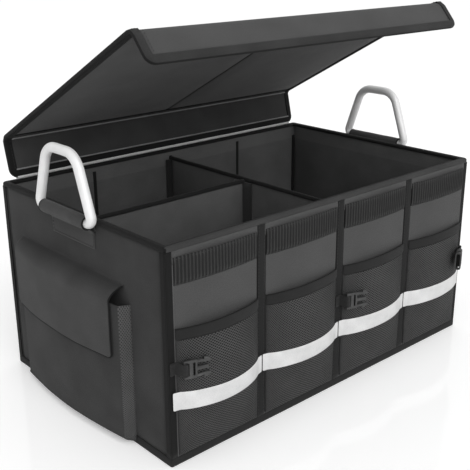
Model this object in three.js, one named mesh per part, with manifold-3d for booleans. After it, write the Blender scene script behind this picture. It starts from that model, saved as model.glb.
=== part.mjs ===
// Collapsible car trunk organizer: a padded fabric box with pockets, dividers, carry handles and a lid.
// Millimetres, +Z up, +X along the pocket front, the front faces -Y, origin at the middle of the base.
import * as THREE from 'three';
import Module from 'manifold-3d';
import { mergeVertices } from 'three/addons/utils/BufferGeometryUtils.js';

const wasm = await Module();
wasm.setup();
const { PI, sin, cos, tan, abs, sqrt, atan2, hypot, asin, round } = Math;
const degrees = (angle) => (angle * PI) / 180;

// Box
const width = 600;
const depth = 380;
const height = 290;
const wallThickness = 7;
const floorThickness = 4;
const gap = 0.3; // between pieces that are sewn or laid together
const baseBoardThickness = 3;
const baseBoardClearance = 3;
const padDepth = 1.6; // how far the padding swells between the seams of a wall
const padInset = 12; // flat hem round each padded field

// Bindings
const tapeThickness = 1.2;
const rimLipOutside = 6;
const rimLipInside = 9;
const cornerTapeWidth = 8.5;
const cornerRadius = 1.2;
const bottomTapeStart = 1;
const bottomTapeHeight = 11;
const seamTapeWidth = 13;
const seamTapeThickness = 1.5;
const frontBorder = 14; // plain top border above the pockets

// Front pockets
const bays = 4;
const pocketThickness = 1.5;
const pocketMouthDepth = 4.4;
const pocketBellyDepth = 1.6;
const pouchRoundness = 0.7; // lower is fuller towards the seams
const elasticHeight = 34;
const ribPitch = 5;
const ribDepth = 1.1;
const pocketBottomLift = 2;
const meshThickness = 1.2;
const meshMouthDepth = 11.5;
const meshBellyDepth = 13;
const meshFill = [1.12, 0.95, 0.85, 0.8]; // how full each bay's mesh pouch hangs
const meshTop = 187;
const meshHemHeight = 14;
const meshHemThickness = 2;
const reflectorBottom = 80;
const reflectorHeight = 25;
const reflectorThickness = 0.8;
const reflectorSeamGap = 0.8; // from the middle of a seam to the tape's end
const reflectorLeftMargin = 1.7; // from the box's left corner
const reflectorRightMargin = 6;

// Side-release buckles on webbing tabs
const buckleHeight = 136;
const webbingWidth = 16;
const webbingThickness = 1.2;
const webBarWidth = 3.4;
const buckleThickness = 4;
const plugWidth = 24;
const buckleRail = 3.5;
const ladderBarWidth = 4.6;
const ladderSlot = 3;
const crossBarWidth = 2.5;
const prongLength = 18;
const prongWidth = 3.4;
const prongHook = 2.4;
const guideWidth = 4.6;
const socketWidth = 28;
const socketLength = 20;
const socketThickness = 9.4;
const socketWall = 1.8;
const socketWindowLength = 8;
// The web bar lies `inset` in from the pocket's edge and `stand` out from the front wall
const leftPlug = { inset: 3.7, stand: 14, angle: degrees(18) };
const middlePlug = { inset: -0.6, stand: 13, angle: degrees(18) };
const rightSocket = { inset: 7, stand: 13, angle: degrees(30) };
const buckleRunningGap = 0.3;
const sewnLength = 8;

// Side pocket
const sidePocketFront = -118;
const sidePocketBack = 137;
const sidePocketBottom = 5;
const sidePocketTop = 197;
const sidePocketGusset = 13;
const sidePocketBelly = 12;
const sidePocketEndFill = 0.88; // how far the belly goes on at the bottom and the mouth
const sidePocketBend = 8; // height of the turn from the bottom to the panel
const sidePocketThickness = 1.6;
const sidePocketSteepness = 0.028; // share of the width taken by a gusset
const flapSeamHeight = 225;
const flapSeamWidth = 7;
const flapLowerEdge = 123;
const flapShoulderRadius = 16;
const flapThickness = 2.2;
const flapFront = -99;
const flapBack = 139;
const flapClearance = 1.2;

// Handles
const handleTubeRadius = 6.75;
const handleAxisOut = 11.3; // from the wall's face out to the handle's axis
const handleAxisHeight = 287.5;
const handleHalfLength = 60.5; // centre of the handle to the outer end of its base, on the centre line
const handleCentre = 2;
const handleRise = 84.5;
const handleBaseRadius = 8;
const handleTopRadius = 28;
const handleTopHalfRun = 14; // half of the straight run at the top
const handleTubeSides = 10;
const sleeveThickness = 1.4;
const sleeveRunningGap = 0.6;
const sleeveHalfLength = 52;
const patchBottom = 250;
const patchHalfLength = 54;
const patchTop = 275;
const neckOverlap = 3; // how far the sleeve's neck goes down into the patch
const neckReach = 5; // width of the neck where it meets the roll

// Dividers
const dividerThickness = 5;
const dividerTop = 277;
const dividerBindingHeight = 8;
const dividerBindingThickness = 1;
const dividerTabWidth = 20;
const dividerTabThickness = 1.5;
const crossDividerDrop = 2;
const longDividerX = 0;
const crossDividerY = 0;

// Lid
const lidHalfWidth = 290;
const lidThickness = 4;
const lidRearSkirt = 58;
const lidPanelLength = 371;
const lidFrontSkirt = 46;
const lidRearFold = degrees(75); // rear skirt against the panel
const lidFrontFold = degrees(78);
const lidOpenAngle = degrees(28.2);
const lidHingeInset = 5; // from the outer face of the back wall in to the hinge line
const lidBend = 9; // radius at the folds
const lidPanelStart = 14; // from a fold to the seam of the panel
const lidFoldGap = 1.2;
const lidStripWidth = 30;
const lidStripThickness = 1;
const lidEdgeWidth = 10;
const lidEdgeThickness = 1;

const frontFace = -depth / 2;
const leftFace = -width / 2;
const wallBottom = floorThickness + gap;
const wallTop = height - tapeThickness - gap;
const pocketTop = height - frontBorder;
const bayWidth = width / bays;

const fabric = new THREE.MeshStandardMaterial({ color: 0x3c3d40, roughness: 0.9, metalness: 0 });
const pocketFabric = new THREE.MeshStandardMaterial({ color: 0x56575a, roughness: 0.85, metalness: 0 });
const lining = new THREE.MeshStandardMaterial({ color: 0x323335, roughness: 0.9, metalness: 0 });
const binding = new THREE.MeshStandardMaterial({ color: 0x222224, roughness: 0.85, metalness: 0 });
const elastic = new THREE.MeshStandardMaterial({ color: 0x404144, roughness: 0.85, metalness: 0 });
const mesh = new THREE.MeshStandardMaterial({ color: 0x38393c, roughness: 0.8, metalness: 0 });
const reflective = new THREE.MeshStandardMaterial({ color: 0xe8e9ea, roughness: 0.35, metalness: 0.1 });
const metal = new THREE.MeshStandardMaterial({ color: 0xeeeeec, roughness: 0.35, metalness: 0.4 });
const plastic = new THREE.MeshStandardMaterial({ color: 0x2a2a2b, roughness: 0.5, metalness: 0 });
const board = new THREE.MeshStandardMaterial({ color: 0x2c2c2e, roughness: 0.9, metalness: 0 });

const organizer = new THREE.Group();

function addPiece(name, geometry, material, parent = organizer) {
  const piece = new THREE.Mesh(geometry, material);
  piece.name = name;
  parent.add(piece);
  return piece;
}

// Solids

function boxBetween(x0, x1, y0, y1, z0, z1) {
  const box = new THREE.BoxGeometry(x1 - x0, y1 - y0, z1 - z0);
  return box.translate((x0 + x1) / 2, (y0 + y1) / 2, (z0 + z1) / 2);
}

function shapeOf(points) {
  return new THREE.Shape(points.map(([a, b]) => new THREE.Vector2(a, b)));
}

function extrude(shape, length, curveSegments = 8) {
  return new THREE.ExtrudeGeometry(shape, { depth: length, bevelEnabled: false, curveSegments });
}

// The shape's coordinates are (y, z)
function extrudeAlongX(shape, x0, x1, curveSegments) {
  const turn = new THREE.Matrix4().makeBasis(
    new THREE.Vector3(0, 1, 0), new THREE.Vector3(0, 0, 1), new THREE.Vector3(1, 0, 0));
  return extrude(shape, x1 - x0, curveSegments).applyMatrix4(turn).translate(x0, 0, 0);
}

// The shape's coordinates are (x, z)
function extrudeAlongY(shape, y0, y1, curveSegments) {
  const turn = new THREE.Matrix4().makeBasis(
    new THREE.Vector3(1, 0, 0), new THREE.Vector3(0, 0, 1), new THREE.Vector3(0, -1, 0));
  return extrude(shape, y1 - y0, curveSegments).applyMatrix4(turn).translate(0, y1, 0);
}

// The shape's coordinates are (x, y)
function extrudeAlongZ(shape, z0, z1, curveSegments) {
  return extrude(shape, z1 - z0, curveSegments).translate(0, 0, z0);
}

function toSolid(geometry) {
  const bare = geometry.clone();
  bare.deleteAttribute('normal');
  bare.deleteAttribute('uv');
  const merged = mergeVertices(bare, 1e-4);
  return new wasm.Manifold(new wasm.Mesh({
    numProp: 3,
    vertProperties: new Float32Array(merged.attributes.position.array),
    triVerts: new Uint32Array(merged.index.array),
  }));
}

function toGeometry(solid) {
  const result = solid.getMesh();
  const geometry = new THREE.BufferGeometry();
  geometry.setAttribute('position', new THREE.BufferAttribute(result.vertProperties, 3));
  geometry.setIndex(new THREE.BufferAttribute(result.triVerts, 1));
  geometry.computeVertexNormals();
  return geometry;
}

function join(...geometries) {
  return toGeometry(geometries.map(toSolid).reduce((whole, part) => whole.add(part)));
}

function cut(geometry, ...tools) {
  return toGeometry(tools.map(toSolid).reduce((whole, tool) => whole.subtract(tool), toSolid(geometry)));
}

function normalOf(surface, u, v) {
  const step = 1e-3;
  const across = surface(Math.min(1, u + step), v).sub(surface(Math.max(0, u - step), v));
  const up = surface(u, Math.min(1, v + step)).sub(surface(u, Math.max(0, v - step)));
  return across.cross(up).normalize();
}

// The surface that lies `distance` outside another one
function raised(surface, distance) {
  return (u, v) => surface(u, v).addScaledVector(normalOf(surface, u, v), distance);
}

// A closed sheet: `inner(u, v)` is its back surface and `thicknessAt(u, v)` is added along the normal
function sheet(inner, columns, rows, thicknessAt) {
  const us = Array.isArray(columns) ? columns : evenSteps(columns);
  const vs = Array.isArray(rows) ? rows : evenSteps(rows);
  const positions = [];
  for (const v of vs) {
    for (const u of us) {
      const back = inner(u, v);
      const front = raised(inner, thicknessAt(u, v))(u, v);
      positions.push(...back.toArray(), ...front.toArray());
    }
  }
  const index = [];
  const at = (i, j, side) => 2 * (j * us.length + i) + side;
  const quad = (a, b, c, d) => index.push(a, b, c, a, c, d);
  const lastU = us.length - 1;
  const lastV = vs.length - 1;
  for (let j = 0; j < lastV; j += 1) {
    for (let i = 0; i < lastU; i += 1) {
      quad(at(i, j, 1), at(i + 1, j, 1), at(i + 1, j + 1, 1), at(i, j + 1, 1));
      quad(at(i, j, 0), at(i, j + 1, 0), at(i + 1, j + 1, 0), at(i + 1, j, 0));
    }
    quad(at(0, j, 0), at(0, j, 1), at(0, j + 1, 1), at(0, j + 1, 0));
    quad(at(lastU, j, 0), at(lastU, j + 1, 0), at(lastU, j + 1, 1), at(lastU, j, 1));
  }
  for (let i = 0; i < lastU; i += 1) {
    quad(at(i, 0, 0), at(i + 1, 0, 0), at(i + 1, 0, 1), at(i, 0, 1));
    quad(at(i, lastV, 0), at(i, lastV, 1), at(i + 1, lastV, 1), at(i + 1, lastV, 0));
  }
  const geometry = new THREE.BufferGeometry();
  geometry.setAttribute('position', new THREE.Float32BufferAttribute(positions, 3));
  geometry.setIndex(index);
  geometry.computeVertexNormals();
  return geometry;
}

function evenSteps(count) {
  return Array.from({ length: count + 1 }, (_, i) => i / count);
}

// Steps that crowd towards both ends, where a pouch turns back to its seam
function crowdedSteps(count) {
  return evenSteps(count).map((share) => (1 - cos(PI * share)) / 2);
}

// How full a pouch is across its width: round in the middle, steep at the seams
function fullness(u) {
  return Math.max(0, sin(PI * u)) ** pouchRoundness;
}

// Walls: flat outside, padded inside between their seams

function padding(u, v, fields, length, tall) {
  const alongField = (u * fields) % 1;
  const fieldLength = length / fields;
  const rise = (distance) => Math.min(1, Math.max(0, distance / padInset - 0.25));
  const fromSeam = Math.min(alongField, 1 - alongField) * fieldLength;
  const fromEdge = Math.min(v, 1 - v) * tall;
  return padDepth * sin((PI / 2) * rise(fromSeam / 2)) * sin((PI / 2) * rise(fromEdge / 2));
}

function paddedWall(fields, length, place) {
  const tall = wallTop - wallBottom;
  const columns = [];
  const fieldSteps = [0, 0.05, 0.15, 0.5, 0.85, 0.95];
  for (let field = 0; field < fields; field += 1) {
    columns.push(...fieldSteps.map((share) => (field + share) / fields));
  }
  columns.push(1);
  const rows = [0, 0.03, 0.09, 0.5, 0.91, 0.97, 1];
  const inner = (u, v) => place((u - 0.5) * length, wallBottom + v * tall);
  return sheet(inner, columns, rows, (u, v) => wallThickness + padding(u, v, fields, length, tall));
}

function addWalls() {
  const sideLength = depth - 2 * (wallThickness + gap);
  addPiece('floor_panel', boxBetween(leftFace, -leftFace, frontFace, -frontFace, 0, floorThickness), fabric);
  addPiece('front_wall',
    paddedWall(bays, width, (along, z) => new THREE.Vector3(-along, frontFace, z)), fabric);
  addPiece('back_wall',
    paddedWall(bays, width, (along, z) => new THREE.Vector3(along, -frontFace, z)), fabric);
  addPiece('left_wall',
    paddedWall(2, sideLength, (along, z) => new THREE.Vector3(leftFace, along, z)), fabric);
  addPiece('right_wall',
    paddedWall(2, sideLength, (along, z) => new THREE.Vector3(-leftFace, -along, z)), fabric);
  const boardX = width / 2 - wallThickness - baseBoardClearance;
  const boardY = depth / 2 - wallThickness - baseBoardClearance;
  for (const [name, x0, x1] of [['base_board_left', -boardX, -gap], ['base_board_right', gap, boardX]]) {
    const slab = boxBetween(x0, x1, -boardY, boardY, wallBottom, wallBottom + baseBoardThickness);
    addPiece(name, slab, board);
  }
}

// Bindings round the rim, down the corners, round the base and over the front seams

function rimAlongFront(side) {
  const outside = gap + tapeThickness;
  const inside = wallThickness + gap + tapeThickness;
  const endX = width / 2 + outside;
  const innerX = width / 2 - inside - gap;
  const place = (y0, y1) => (side < 0 ? [y0, y1] : [-y1, -y0]);
  const between = (x0, x1, y0, y1, z0, z1) => {
    const [near, far] = place(y0, y1);
    return boxBetween(x0, x1, near, far, z0, z1);
  };
  const outerLip = between(-endX, endX, frontFace - outside, frontFace + inside, height - rimLipOutside, height);
  const innerLip = between(-innerX, innerX, frontFace + wallThickness + gap, frontFace + inside,
    height - rimLipInside, height);
  const whole = join(outerLip, innerLip);
  const overWall = between(-width / 2 - gap, width / 2 + gap, frontFace - gap, frontFace + wallThickness + gap,
    0, height - tapeThickness);
  const overLeftWall = between(-endX + tapeThickness, -innerX, frontFace, 0, 0, height - tapeThickness);
  const overRightWall = between(innerX, endX - tapeThickness, frontFace, 0, 0, height - tapeThickness);
  return cut(whole, overWall, overLeftWall, overRightWall);
}

function rimAlongSide(side) {
  const halfLength = depth / 2 - wallThickness - tapeThickness - 2 * gap;
  const outer = width / 2 + gap + tapeThickness;
  const inner = width / 2 - wallThickness - gap - tapeThickness;
  const profile = shapeOf([
    [outer, height - rimLipOutside], [outer, height], [inner, height], [inner, height - rimLipInside],
    [inner + tapeThickness, height - rimLipInside], [inner + tapeThickness, height - tapeThickness],
    [outer - tapeThickness, height - tapeThickness], [outer - tapeThickness, height - rimLipOutside],
  ].map(([x, z]) => [side * x, z]));
  return extrudeAlongY(profile, -halfLength, halfLength);
}

function cornerTape(sideX, sideY) {
  const outer = gap + tapeThickness;
  const shape = new THREE.Shape();
  shape.moveTo(-gap, cornerTapeWidth);
  shape.lineTo(-outer, cornerTapeWidth);
  shape.lineTo(-outer, -outer + cornerRadius);
  shape.absarc(-outer + cornerRadius, -outer + cornerRadius, cornerRadius, PI, 1.5 * PI, false);
  shape.lineTo(cornerTapeWidth, -outer);
  shape.lineTo(cornerTapeWidth, -gap);
  shape.lineTo(-gap, -gap);
  const bottom = bottomTapeStart + bottomTapeHeight + gap;
  const strip = extrudeAlongZ(shape, bottom, height - rimLipOutside - gap, 4);
  const turn = { '-1,-1': 0, '1,-1': PI / 2, '1,1': PI, '-1,1': -PI / 2 }[`${sideX},${sideY}`];
  return strip.rotateZ(turn).translate((sideX * width) / 2, (sideY * depth) / 2, 0);
}

function bottomTape() {
  const ring = (extra) => {
    const x = width / 2 + extra;
    const y = depth / 2 + extra;
    return [[-x, -y], [x, -y], [x, y], [-x, y]];
  };
  const shape = shapeOf(ring(gap + tapeThickness));
  shape.holes.push(new THREE.Path(ring(gap).map(([x, y]) => new THREE.Vector2(x, y))));
  return extrudeAlongZ(shape, bottomTapeStart, bottomTapeStart + bottomTapeHeight);
}

function addBindings() {
  addPiece('rim_binding_front', rimAlongFront(-1), binding);
  addPiece('rim_binding_back', rimAlongFront(1), binding);
  addPiece('rim_binding_left', rimAlongSide(-1), binding);
  addPiece('rim_binding_right', rimAlongSide(1), binding);
  for (const [sideX, nameX] of [[-1, 'left'], [1, 'right']]) {
    for (const [sideY, nameY] of [[-1, 'front'], [1, 'back']]) {
      addPiece(`corner_binding_${nameY}_${nameX}`, cornerTape(sideX, sideY), binding);
    }
  }
  addPiece('bottom_binding', bottomTape(), binding);
  const tapeBottom = bottomTapeStart + bottomTapeHeight + gap;
  const tapeTop = height - rimLipOutside - gap;
  for (let seam = 1; seam < bays; seam += 1) {
    const x = leftFace + seam * bayWidth;
    const face = frontFace - gap;
    addPiece(`seam_tape_${seam}`, boxBetween(x - seamTapeWidth / 2, x + seamTapeWidth / 2,
      face - seamTapeThickness, face, tapeBottom, tapeTop), binding);
  }
}

// Front pockets: a fabric pouch with a ribbed elastic mouth, and a mesh pouch sewn over its lower part

const pocketBottom = bottomTapeStart + bottomTapeHeight + pocketBottomLift;
const meshLift = pocketThickness + 2 * gap;

function bayEdges(bay) {
  const edge = (seam) => {
    const x = leftFace + seam * bayWidth;
    if (seam === 0) return x + cornerTapeWidth;
    if (seam === bays) return x - cornerTapeWidth;
    return seam > bay ? x - seamTapeWidth / 2 : x + seamTapeWidth / 2;
  };
  const room = gap + pocketThickness;
  return [edge(bay) + room, edge(bay + 1) - room];
}

// The back surface of a layer of the pouch over bay `bay`, from `z0` to `z1`
function pouchLayer(bay, z0, z1, depthAt, lift) {
  const [left, right] = bayEdges(bay);
  return (u, v) => {
    const z = z0 + v * (z1 - z0);
    const out = gap + lift + depthAt(z, bay) * fullness(u);
    return new THREE.Vector3(left + u * (right - left), frontFace - out, z);
  };
}

function pocketDepth(z) {
  const share = (z - pocketBottom) / (pocketTop - pocketBottom);
  return pocketMouthDepth * share ** 0.6 + pocketBellyDepth * sin(PI * Math.min(1, share));
}

function meshDepth(z, bay) {
  const share = (z - pocketBottom) / (meshTop - pocketBottom);
  return meshFill[bay] * (meshMouthDepth * share ** 0.6 + meshBellyDepth * sin(PI * Math.min(1, share)));
}

// The reflective tape lies on the net and runs on over the seams, where it is stitched
function reflectorBack(bay, netting, firstStep) {
  const start = leftFace + bay * bayWidth;
  const left = bay === 0 ? start + reflectorLeftMargin : start + reflectorSeamGap;
  const right = start + bayWidth - (bay === bays - 1 ? reflectorRightMargin : reflectorSeamGap);
  const onNet = raised(netting, meshThickness + gap);
  return (u, v) => {
    const fromEnd = Math.min(u, 1 - u);
    if (fromEnd >= firstStep) return onNet(u, v);
    const edge = onNet(u < 0.5 ? firstStep : 1 - firstStep, v);
    const overSeam = frontFace - meshLift - meshThickness - 2 * gap;
    const seam = new THREE.Vector3(u < 0.5 ? left : right, overSeam, edge.z);
    return seam.lerp(edge, fromEnd / firstStep);
  };
}

const pouchRows = [0, 0.04, 0.12, 0.25, 0.42, 0.6, 0.8, 1];

// The mesh has a row of facets just under the reflective tape
function meshRows(z0, z1) {
  const share = (z) => (z - z0) / (z1 - z0);
  const taped = [share(reflectorBottom), share(reflectorBottom + reflectorHeight)];
  return [0, 0.04, 0.12, 0.25, ...taped, 0.8, 1];
}

function addFrontPockets() {
  const elasticBottom = pocketTop - elasticHeight;
  const hemBottom = meshTop - meshHemHeight;
  const acrossBay = crowdedSteps(12);
  for (let bay = 0; bay < bays; bay += 1) {
    const number = bay + 1;
    const [left, right] = bayEdges(bay);
    addPiece(`front_pocket_${number}`,
      sheet(pouchLayer(bay, pocketBottom, elasticBottom - gap, pocketDepth, 0), acrossBay, pouchRows,
        () => pocketThickness), pocketFabric);
    const ribs = round((right - left) / ribPitch);
    const ribbed = (u) => pocketThickness + (round(u * ribs * 2) % 2) * ribDepth;
    addPiece(`elastic_band_${number}`,
      sheet(pouchLayer(bay, elasticBottom, pocketTop, pocketDepth, 0), evenSteps(ribs * 2), 1, ribbed),
      elastic);
    const netting = pouchLayer(bay, pocketBottom, hemBottom - gap, meshDepth, meshLift);
    const netRows = meshRows(pocketBottom, hemBottom - gap);
    addPiece(`mesh_pocket_${number}`, sheet(netting, acrossBay, netRows, () => meshThickness), mesh);
    addPiece(`mesh_hem_${number}`,
      sheet(pouchLayer(bay, hemBottom, meshTop, meshDepth, meshLift), acrossBay, 1,
        () => meshHemThickness), binding);
    const behindTape = reflectorBack(bay, netting, acrossBay[1]);
    addPiece(`reflective_tape_${number}`,
      sheet(behindTape, acrossBay, netRows.slice(4, 6), () => reflectorThickness), reflective);
  }
}

// Buckles: drawn with the web bar's axis at the origin, the buckle along +X, its width along Z

function buckleFrame(wide, thickness) {
  const half = wide / 2;
  const slotHalf = half - buckleRail;
  const barEnd = webBarWidth / 2;
  const ladderStart = barEnd + ladderSlot;
  const ladderEnd = ladderStart + ladderBarWidth;
  const crossStart = ladderEnd + ladderSlot;
  const frame = boxBetween(-barEnd, crossStart + crossBarWidth, -thickness / 2, thickness / 2, -half, half);
  const webSlot = boxBetween(barEnd, ladderStart, -thickness, thickness, -slotHalf, slotHalf);
  const tensionSlot = boxBetween(ladderEnd, crossStart, -thickness, thickness, -slotHalf, slotHalf);
  return { frame: cut(frame, webSlot, tensionSlot), end: crossStart + crossBarWidth };
}

function bucklePlug() {
  const { frame, end } = buckleFrame(plugWidth, buckleThickness);
  const tip = end + prongLength;
  const half = plugWidth / 2 - 1;
  const arm = (side) => {
    const shape = new THREE.Shape();
    shape.moveTo(end - 1, side * (half - prongWidth));
    shape.quadraticCurveTo(end + prongLength / 2, side * (half - prongWidth), tip - 8, side * (half - prongWidth - 1));
    shape.lineTo(tip, side * (half - prongWidth));
    shape.quadraticCurveTo(tip, side * half, tip - 6, side * (half + prongHook));
    shape.lineTo(tip - 9, side * (half + prongHook));
    shape.lineTo(tip - 9, side * (half - 1));
    shape.quadraticCurveTo(end + prongLength / 2, side * half, end - 1, side * half);
    return extrudeAlongY(shape, -buckleThickness / 2 + 0.4, buckleThickness / 2 - 0.4, 5);
  };
  const guide = boxBetween(end - 1, tip - 3, -buckleThickness / 2 + 0.4, buckleThickness / 2 - 0.4,
    -guideWidth / 2, guideWidth / 2);
  return join(frame, guide, arm(1), arm(-1));
}

function buckleSocket() {
  const { frame, end } = buckleFrame(socketWidth, buckleThickness);
  const half = socketWidth / 2;
  const body = extrudeAlongX(roundedRectangle(socketThickness, socketWidth, 3.5), end - 1, end + socketLength, 4);
  const mouth = extrudeAlongX(
    roundedRectangle(socketThickness - 2 * socketWall, socketWidth - 2 * socketWall, 2), end + 2,
    end + socketLength + 1, 4);
  const windowStart = end + 6;
  const sideWindow = boxBetween(windowStart, windowStart + socketWindowLength, -socketThickness / 4,
    socketThickness / 4, -half - 1, half + 1);
  return cut(join(frame, body), mouth, sideWindow);
}

function roundedRectangle(wide, tall, radius) {
  const x = wide / 2 - radius;
  const y = tall / 2 - radius;
  const shape = new THREE.Shape();
  shape.absarc(x, y, radius, 0, PI / 2, false);
  shape.absarc(-x, y, radius, PI / 2, PI, false);
  shape.absarc(-x, -y, radius, PI, 1.5 * PI, false);
  shape.absarc(x, -y, radius, 1.5 * PI, 2 * PI, false);
  return shape;
}

// A folded webbing tab: sewn flat over a seam, then out to a loop round the buckle's web bar
function webbingTab(sewnX, sewnY, barX, barY) {
  const inner = hypot(webBarWidth, buckleThickness) / 2 + buckleRunningGap;
  const outer = inner + webbingThickness;
  const toward = Math.sign(barX - sewnX);
  const bendX = sewnX + toward * sewnLength;
  const thickness = 2 * webbingThickness;
  const sewnEnd = boxBetween(Math.min(sewnX, bendX), Math.max(sewnX, bendX), sewnY - thickness, sewnY,
    -webbingWidth / 2, webbingWidth / 2);
  const startY = sewnY - thickness / 2;
  const startX = bendX - toward * thickness / 2;
  const run = hypot(barX - startX, barY - startY);
  const tail = boxBetween(0, run, -thickness / 2, thickness / 2, -webbingWidth / 2, webbingWidth / 2)
    .rotateZ(atan2(barY - startY, barX - startX)).translate(startX, startY, 0);
  const cylinder = (radius, length) => new THREE.CylinderGeometry(radius, radius, length, 16)
    .rotateX(PI / 2).translate(barX, barY, 0);
  return cut(join(sewnEnd, tail, cylinder(outer, webbingWidth)), cylinder(inner, webbingWidth + 2))
    .translate(0, 0, buckleHeight);
}

function addBuckle(name, tabName, geometry, edgeX, side, sewnX, sewnY, place) {
  const barX = edgeX + side * place.inset;
  const barY = frontFace - place.stand;
  addPiece(tabName, webbingTab(sewnX, sewnY, barX, barY), binding);
  const holder = new THREE.Group();
  holder.position.set(barX, barY, buckleHeight);
  holder.rotation.z = side > 0 ? -place.angle : PI + place.angle;
  organizer.add(holder);
  addPiece(name, geometry, plastic, holder);
}

function addBuckles() {
  const overCorner = frontFace - gap - tapeThickness - gap;
  const overSeam = frontFace - gap - seamTapeThickness - gap;
  addBuckle('buckle_plug_left', 'webbing_tab_left', bucklePlug(), bayEdges(0)[0], 1,
    leftFace + gap, overCorner, leftPlug);
  addBuckle('buckle_plug_middle', 'webbing_tab_middle', bucklePlug(), bayEdges(2)[0], 1,
    -seamTapeWidth / 2, overSeam, middlePlug);
  addBuckle('buckle_socket', 'webbing_tab_right', buckleSocket(), bayEdges(bays - 1)[1], -1,
    -leftFace - gap, overCorner, rightSocket);
}

// Side pocket on the left wall, with its flap

function sidePocketOut(u, z) {
  const edge = Math.min(1, Math.min(u, 1 - u) / sidePocketSteepness);
  const share = (z - sidePocketBottom) / (sidePocketTop - sidePocketBottom);
  const rise = Math.min(1, Math.max(0, z - sidePocketBottom) / sidePocketBend);
  const belly = sin(PI * u) * (sidePocketEndFill + (1 - sidePocketEndFill) * sin(PI * share));
  return sqrt(rise) * (sidePocketGusset * edge + sidePocketBelly * belly);
}

function addSidePocket() {
  const length = sidePocketBack - sidePocketFront;
  const tall = sidePocketTop - sidePocketBottom;
  const across = (u) => sidePocketFront + u * length;
  // Up to the bottom binding the pocket starts at the binding's face, above it at the wall
  const besideBinding = bottomTapeStart + bottomTapeHeight + 3 * gap;
  const pouch = (u, v) => {
    const z = sidePocketBottom + v * tall;
    const inside = z < besideBinding ? tapeThickness + 2 * gap : gap;
    return new THREE.Vector3(leftFace - inside - sidePocketOut(u, z), across(1 - u), z);
  };
  const steep = sidePocketSteepness;
  const half = [0, steep / 2, steep, 0.06, 0.12, 0.22, 0.35];
  const columns = [...half, 0.5, ...half.map((u) => 1 - u).reverse()];
  const rows = [0, 0.002, 0.008, 0.02, 0.04, 0.055, 0.11, 0.2, 0.35, 0.55, 0.78, 1];
  addPiece('side_pocket', sheet(pouch, columns, rows, () => sidePocketThickness), mesh);

  // The flap's profile: sewn strip, shoulder arc, hanging panel
  const hang = flapSeamHeight - flapSeamWidth - flapShoulderRadius - flapLowerEdge;
  const skin = sidePocketThickness + flapClearance;
  const flap = (u, v) => {
    const y = flapFront + u * (flapBack - flapFront);
    const inside = Math.min(1, Math.max(0, (y - sidePocketFront) / length));
    const reach = sidePocketGusset + sidePocketBelly * sin(PI * inside) + skin;
    const seamShare = 0.1;
    const shoulderShare = 0.45;
    let x = 0;
    let z = flapSeamHeight - (v / seamShare) * flapSeamWidth;
    if (v > seamShare) {
      const turn = (PI / 2) * Math.min(1, (v - seamShare) / (shoulderShare - seamShare));
      x = reach * sin(turn);
      z = flapSeamHeight - flapSeamWidth - flapShoulderRadius * (1 - cos(turn));
    }
    if (v > shoulderShare) {
      z -= (hang * (v - shoulderShare)) / (1 - shoulderShare);
    }
    return new THREE.Vector3(leftFace - gap - x, y, z);
  };
  const flapRows = [0, 0.1, 0.16, 0.22, 0.28, 0.34, 0.4, 0.45, 0.6, 0.8, 1];
  addPiece('side_pocket_flap', sheet(flap, evenSteps(12), flapRows, () => flapThickness), fabric);
}

// Handles: a closed triangular tube, its base held in a fabric sleeve at the top of each side wall

function handleLine() {
  const baseY = handleHalfLength - handleBaseRadius;
  const topZ = handleRise - handleTopRadius;
  const acrossLeg = handleTopHalfRun - baseY;
  const upLeg = topZ - handleBaseRadius;
  const legTurn = atan2(upLeg, acrossLeg) - PI / 2
    + asin((handleBaseRadius - handleTopRadius) / hypot(acrossLeg, upLeg));
  const half = [];
  const arc = (centreY, centreZ, radius, from, to, steps) => {
    for (let i = 0; i <= steps; i += 1) {
      const angle = from + ((to - from) * i) / steps;
      half.push([centreY + radius * cos(angle), centreZ + radius * sin(angle), angle]);
    }
  };
  arc(baseY, handleBaseRadius, handleBaseRadius, -PI / 2, legTurn, 8);
  arc(handleTopHalfRun, topZ, handleTopRadius, legTurn, PI / 2, 8);
  const other = [...half].reverse().map(([y, z, angle]) => [-y, z, PI - angle]);
  return [...half, ...other];
}

function handleTube() {
  const line = handleLine();
  const positions = [];
  const index = [];
  for (const [y, z, angle] of line) {
    for (let k = 0; k < handleTubeSides; k += 1) {
      const aroundTube = (2 * PI * k) / handleTubeSides;
      const out = handleTubeRadius * cos(aroundTube);
      positions.push(handleTubeRadius * sin(aroundTube), y + out * cos(angle), z + out * sin(angle));
    }
  }
  for (let i = 0; i < line.length; i += 1) {
    const next = (i + 1) % line.length;
    for (let k = 0; k < handleTubeSides; k += 1) {
      const a = i * handleTubeSides + k;
      const b = i * handleTubeSides + ((k + 1) % handleTubeSides);
      const c = next * handleTubeSides + k;
      const d = next * handleTubeSides + ((k + 1) % handleTubeSides);
      index.push(a, c, b, b, c, d);
    }
  }
  const geometry = new THREE.BufferGeometry();
  geometry.setAttribute('position', new THREE.Float32BufferAttribute(positions, 3));
  geometry.setIndex(index);
  geometry.computeVertexNormals();
  return geometry;
}

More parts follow.
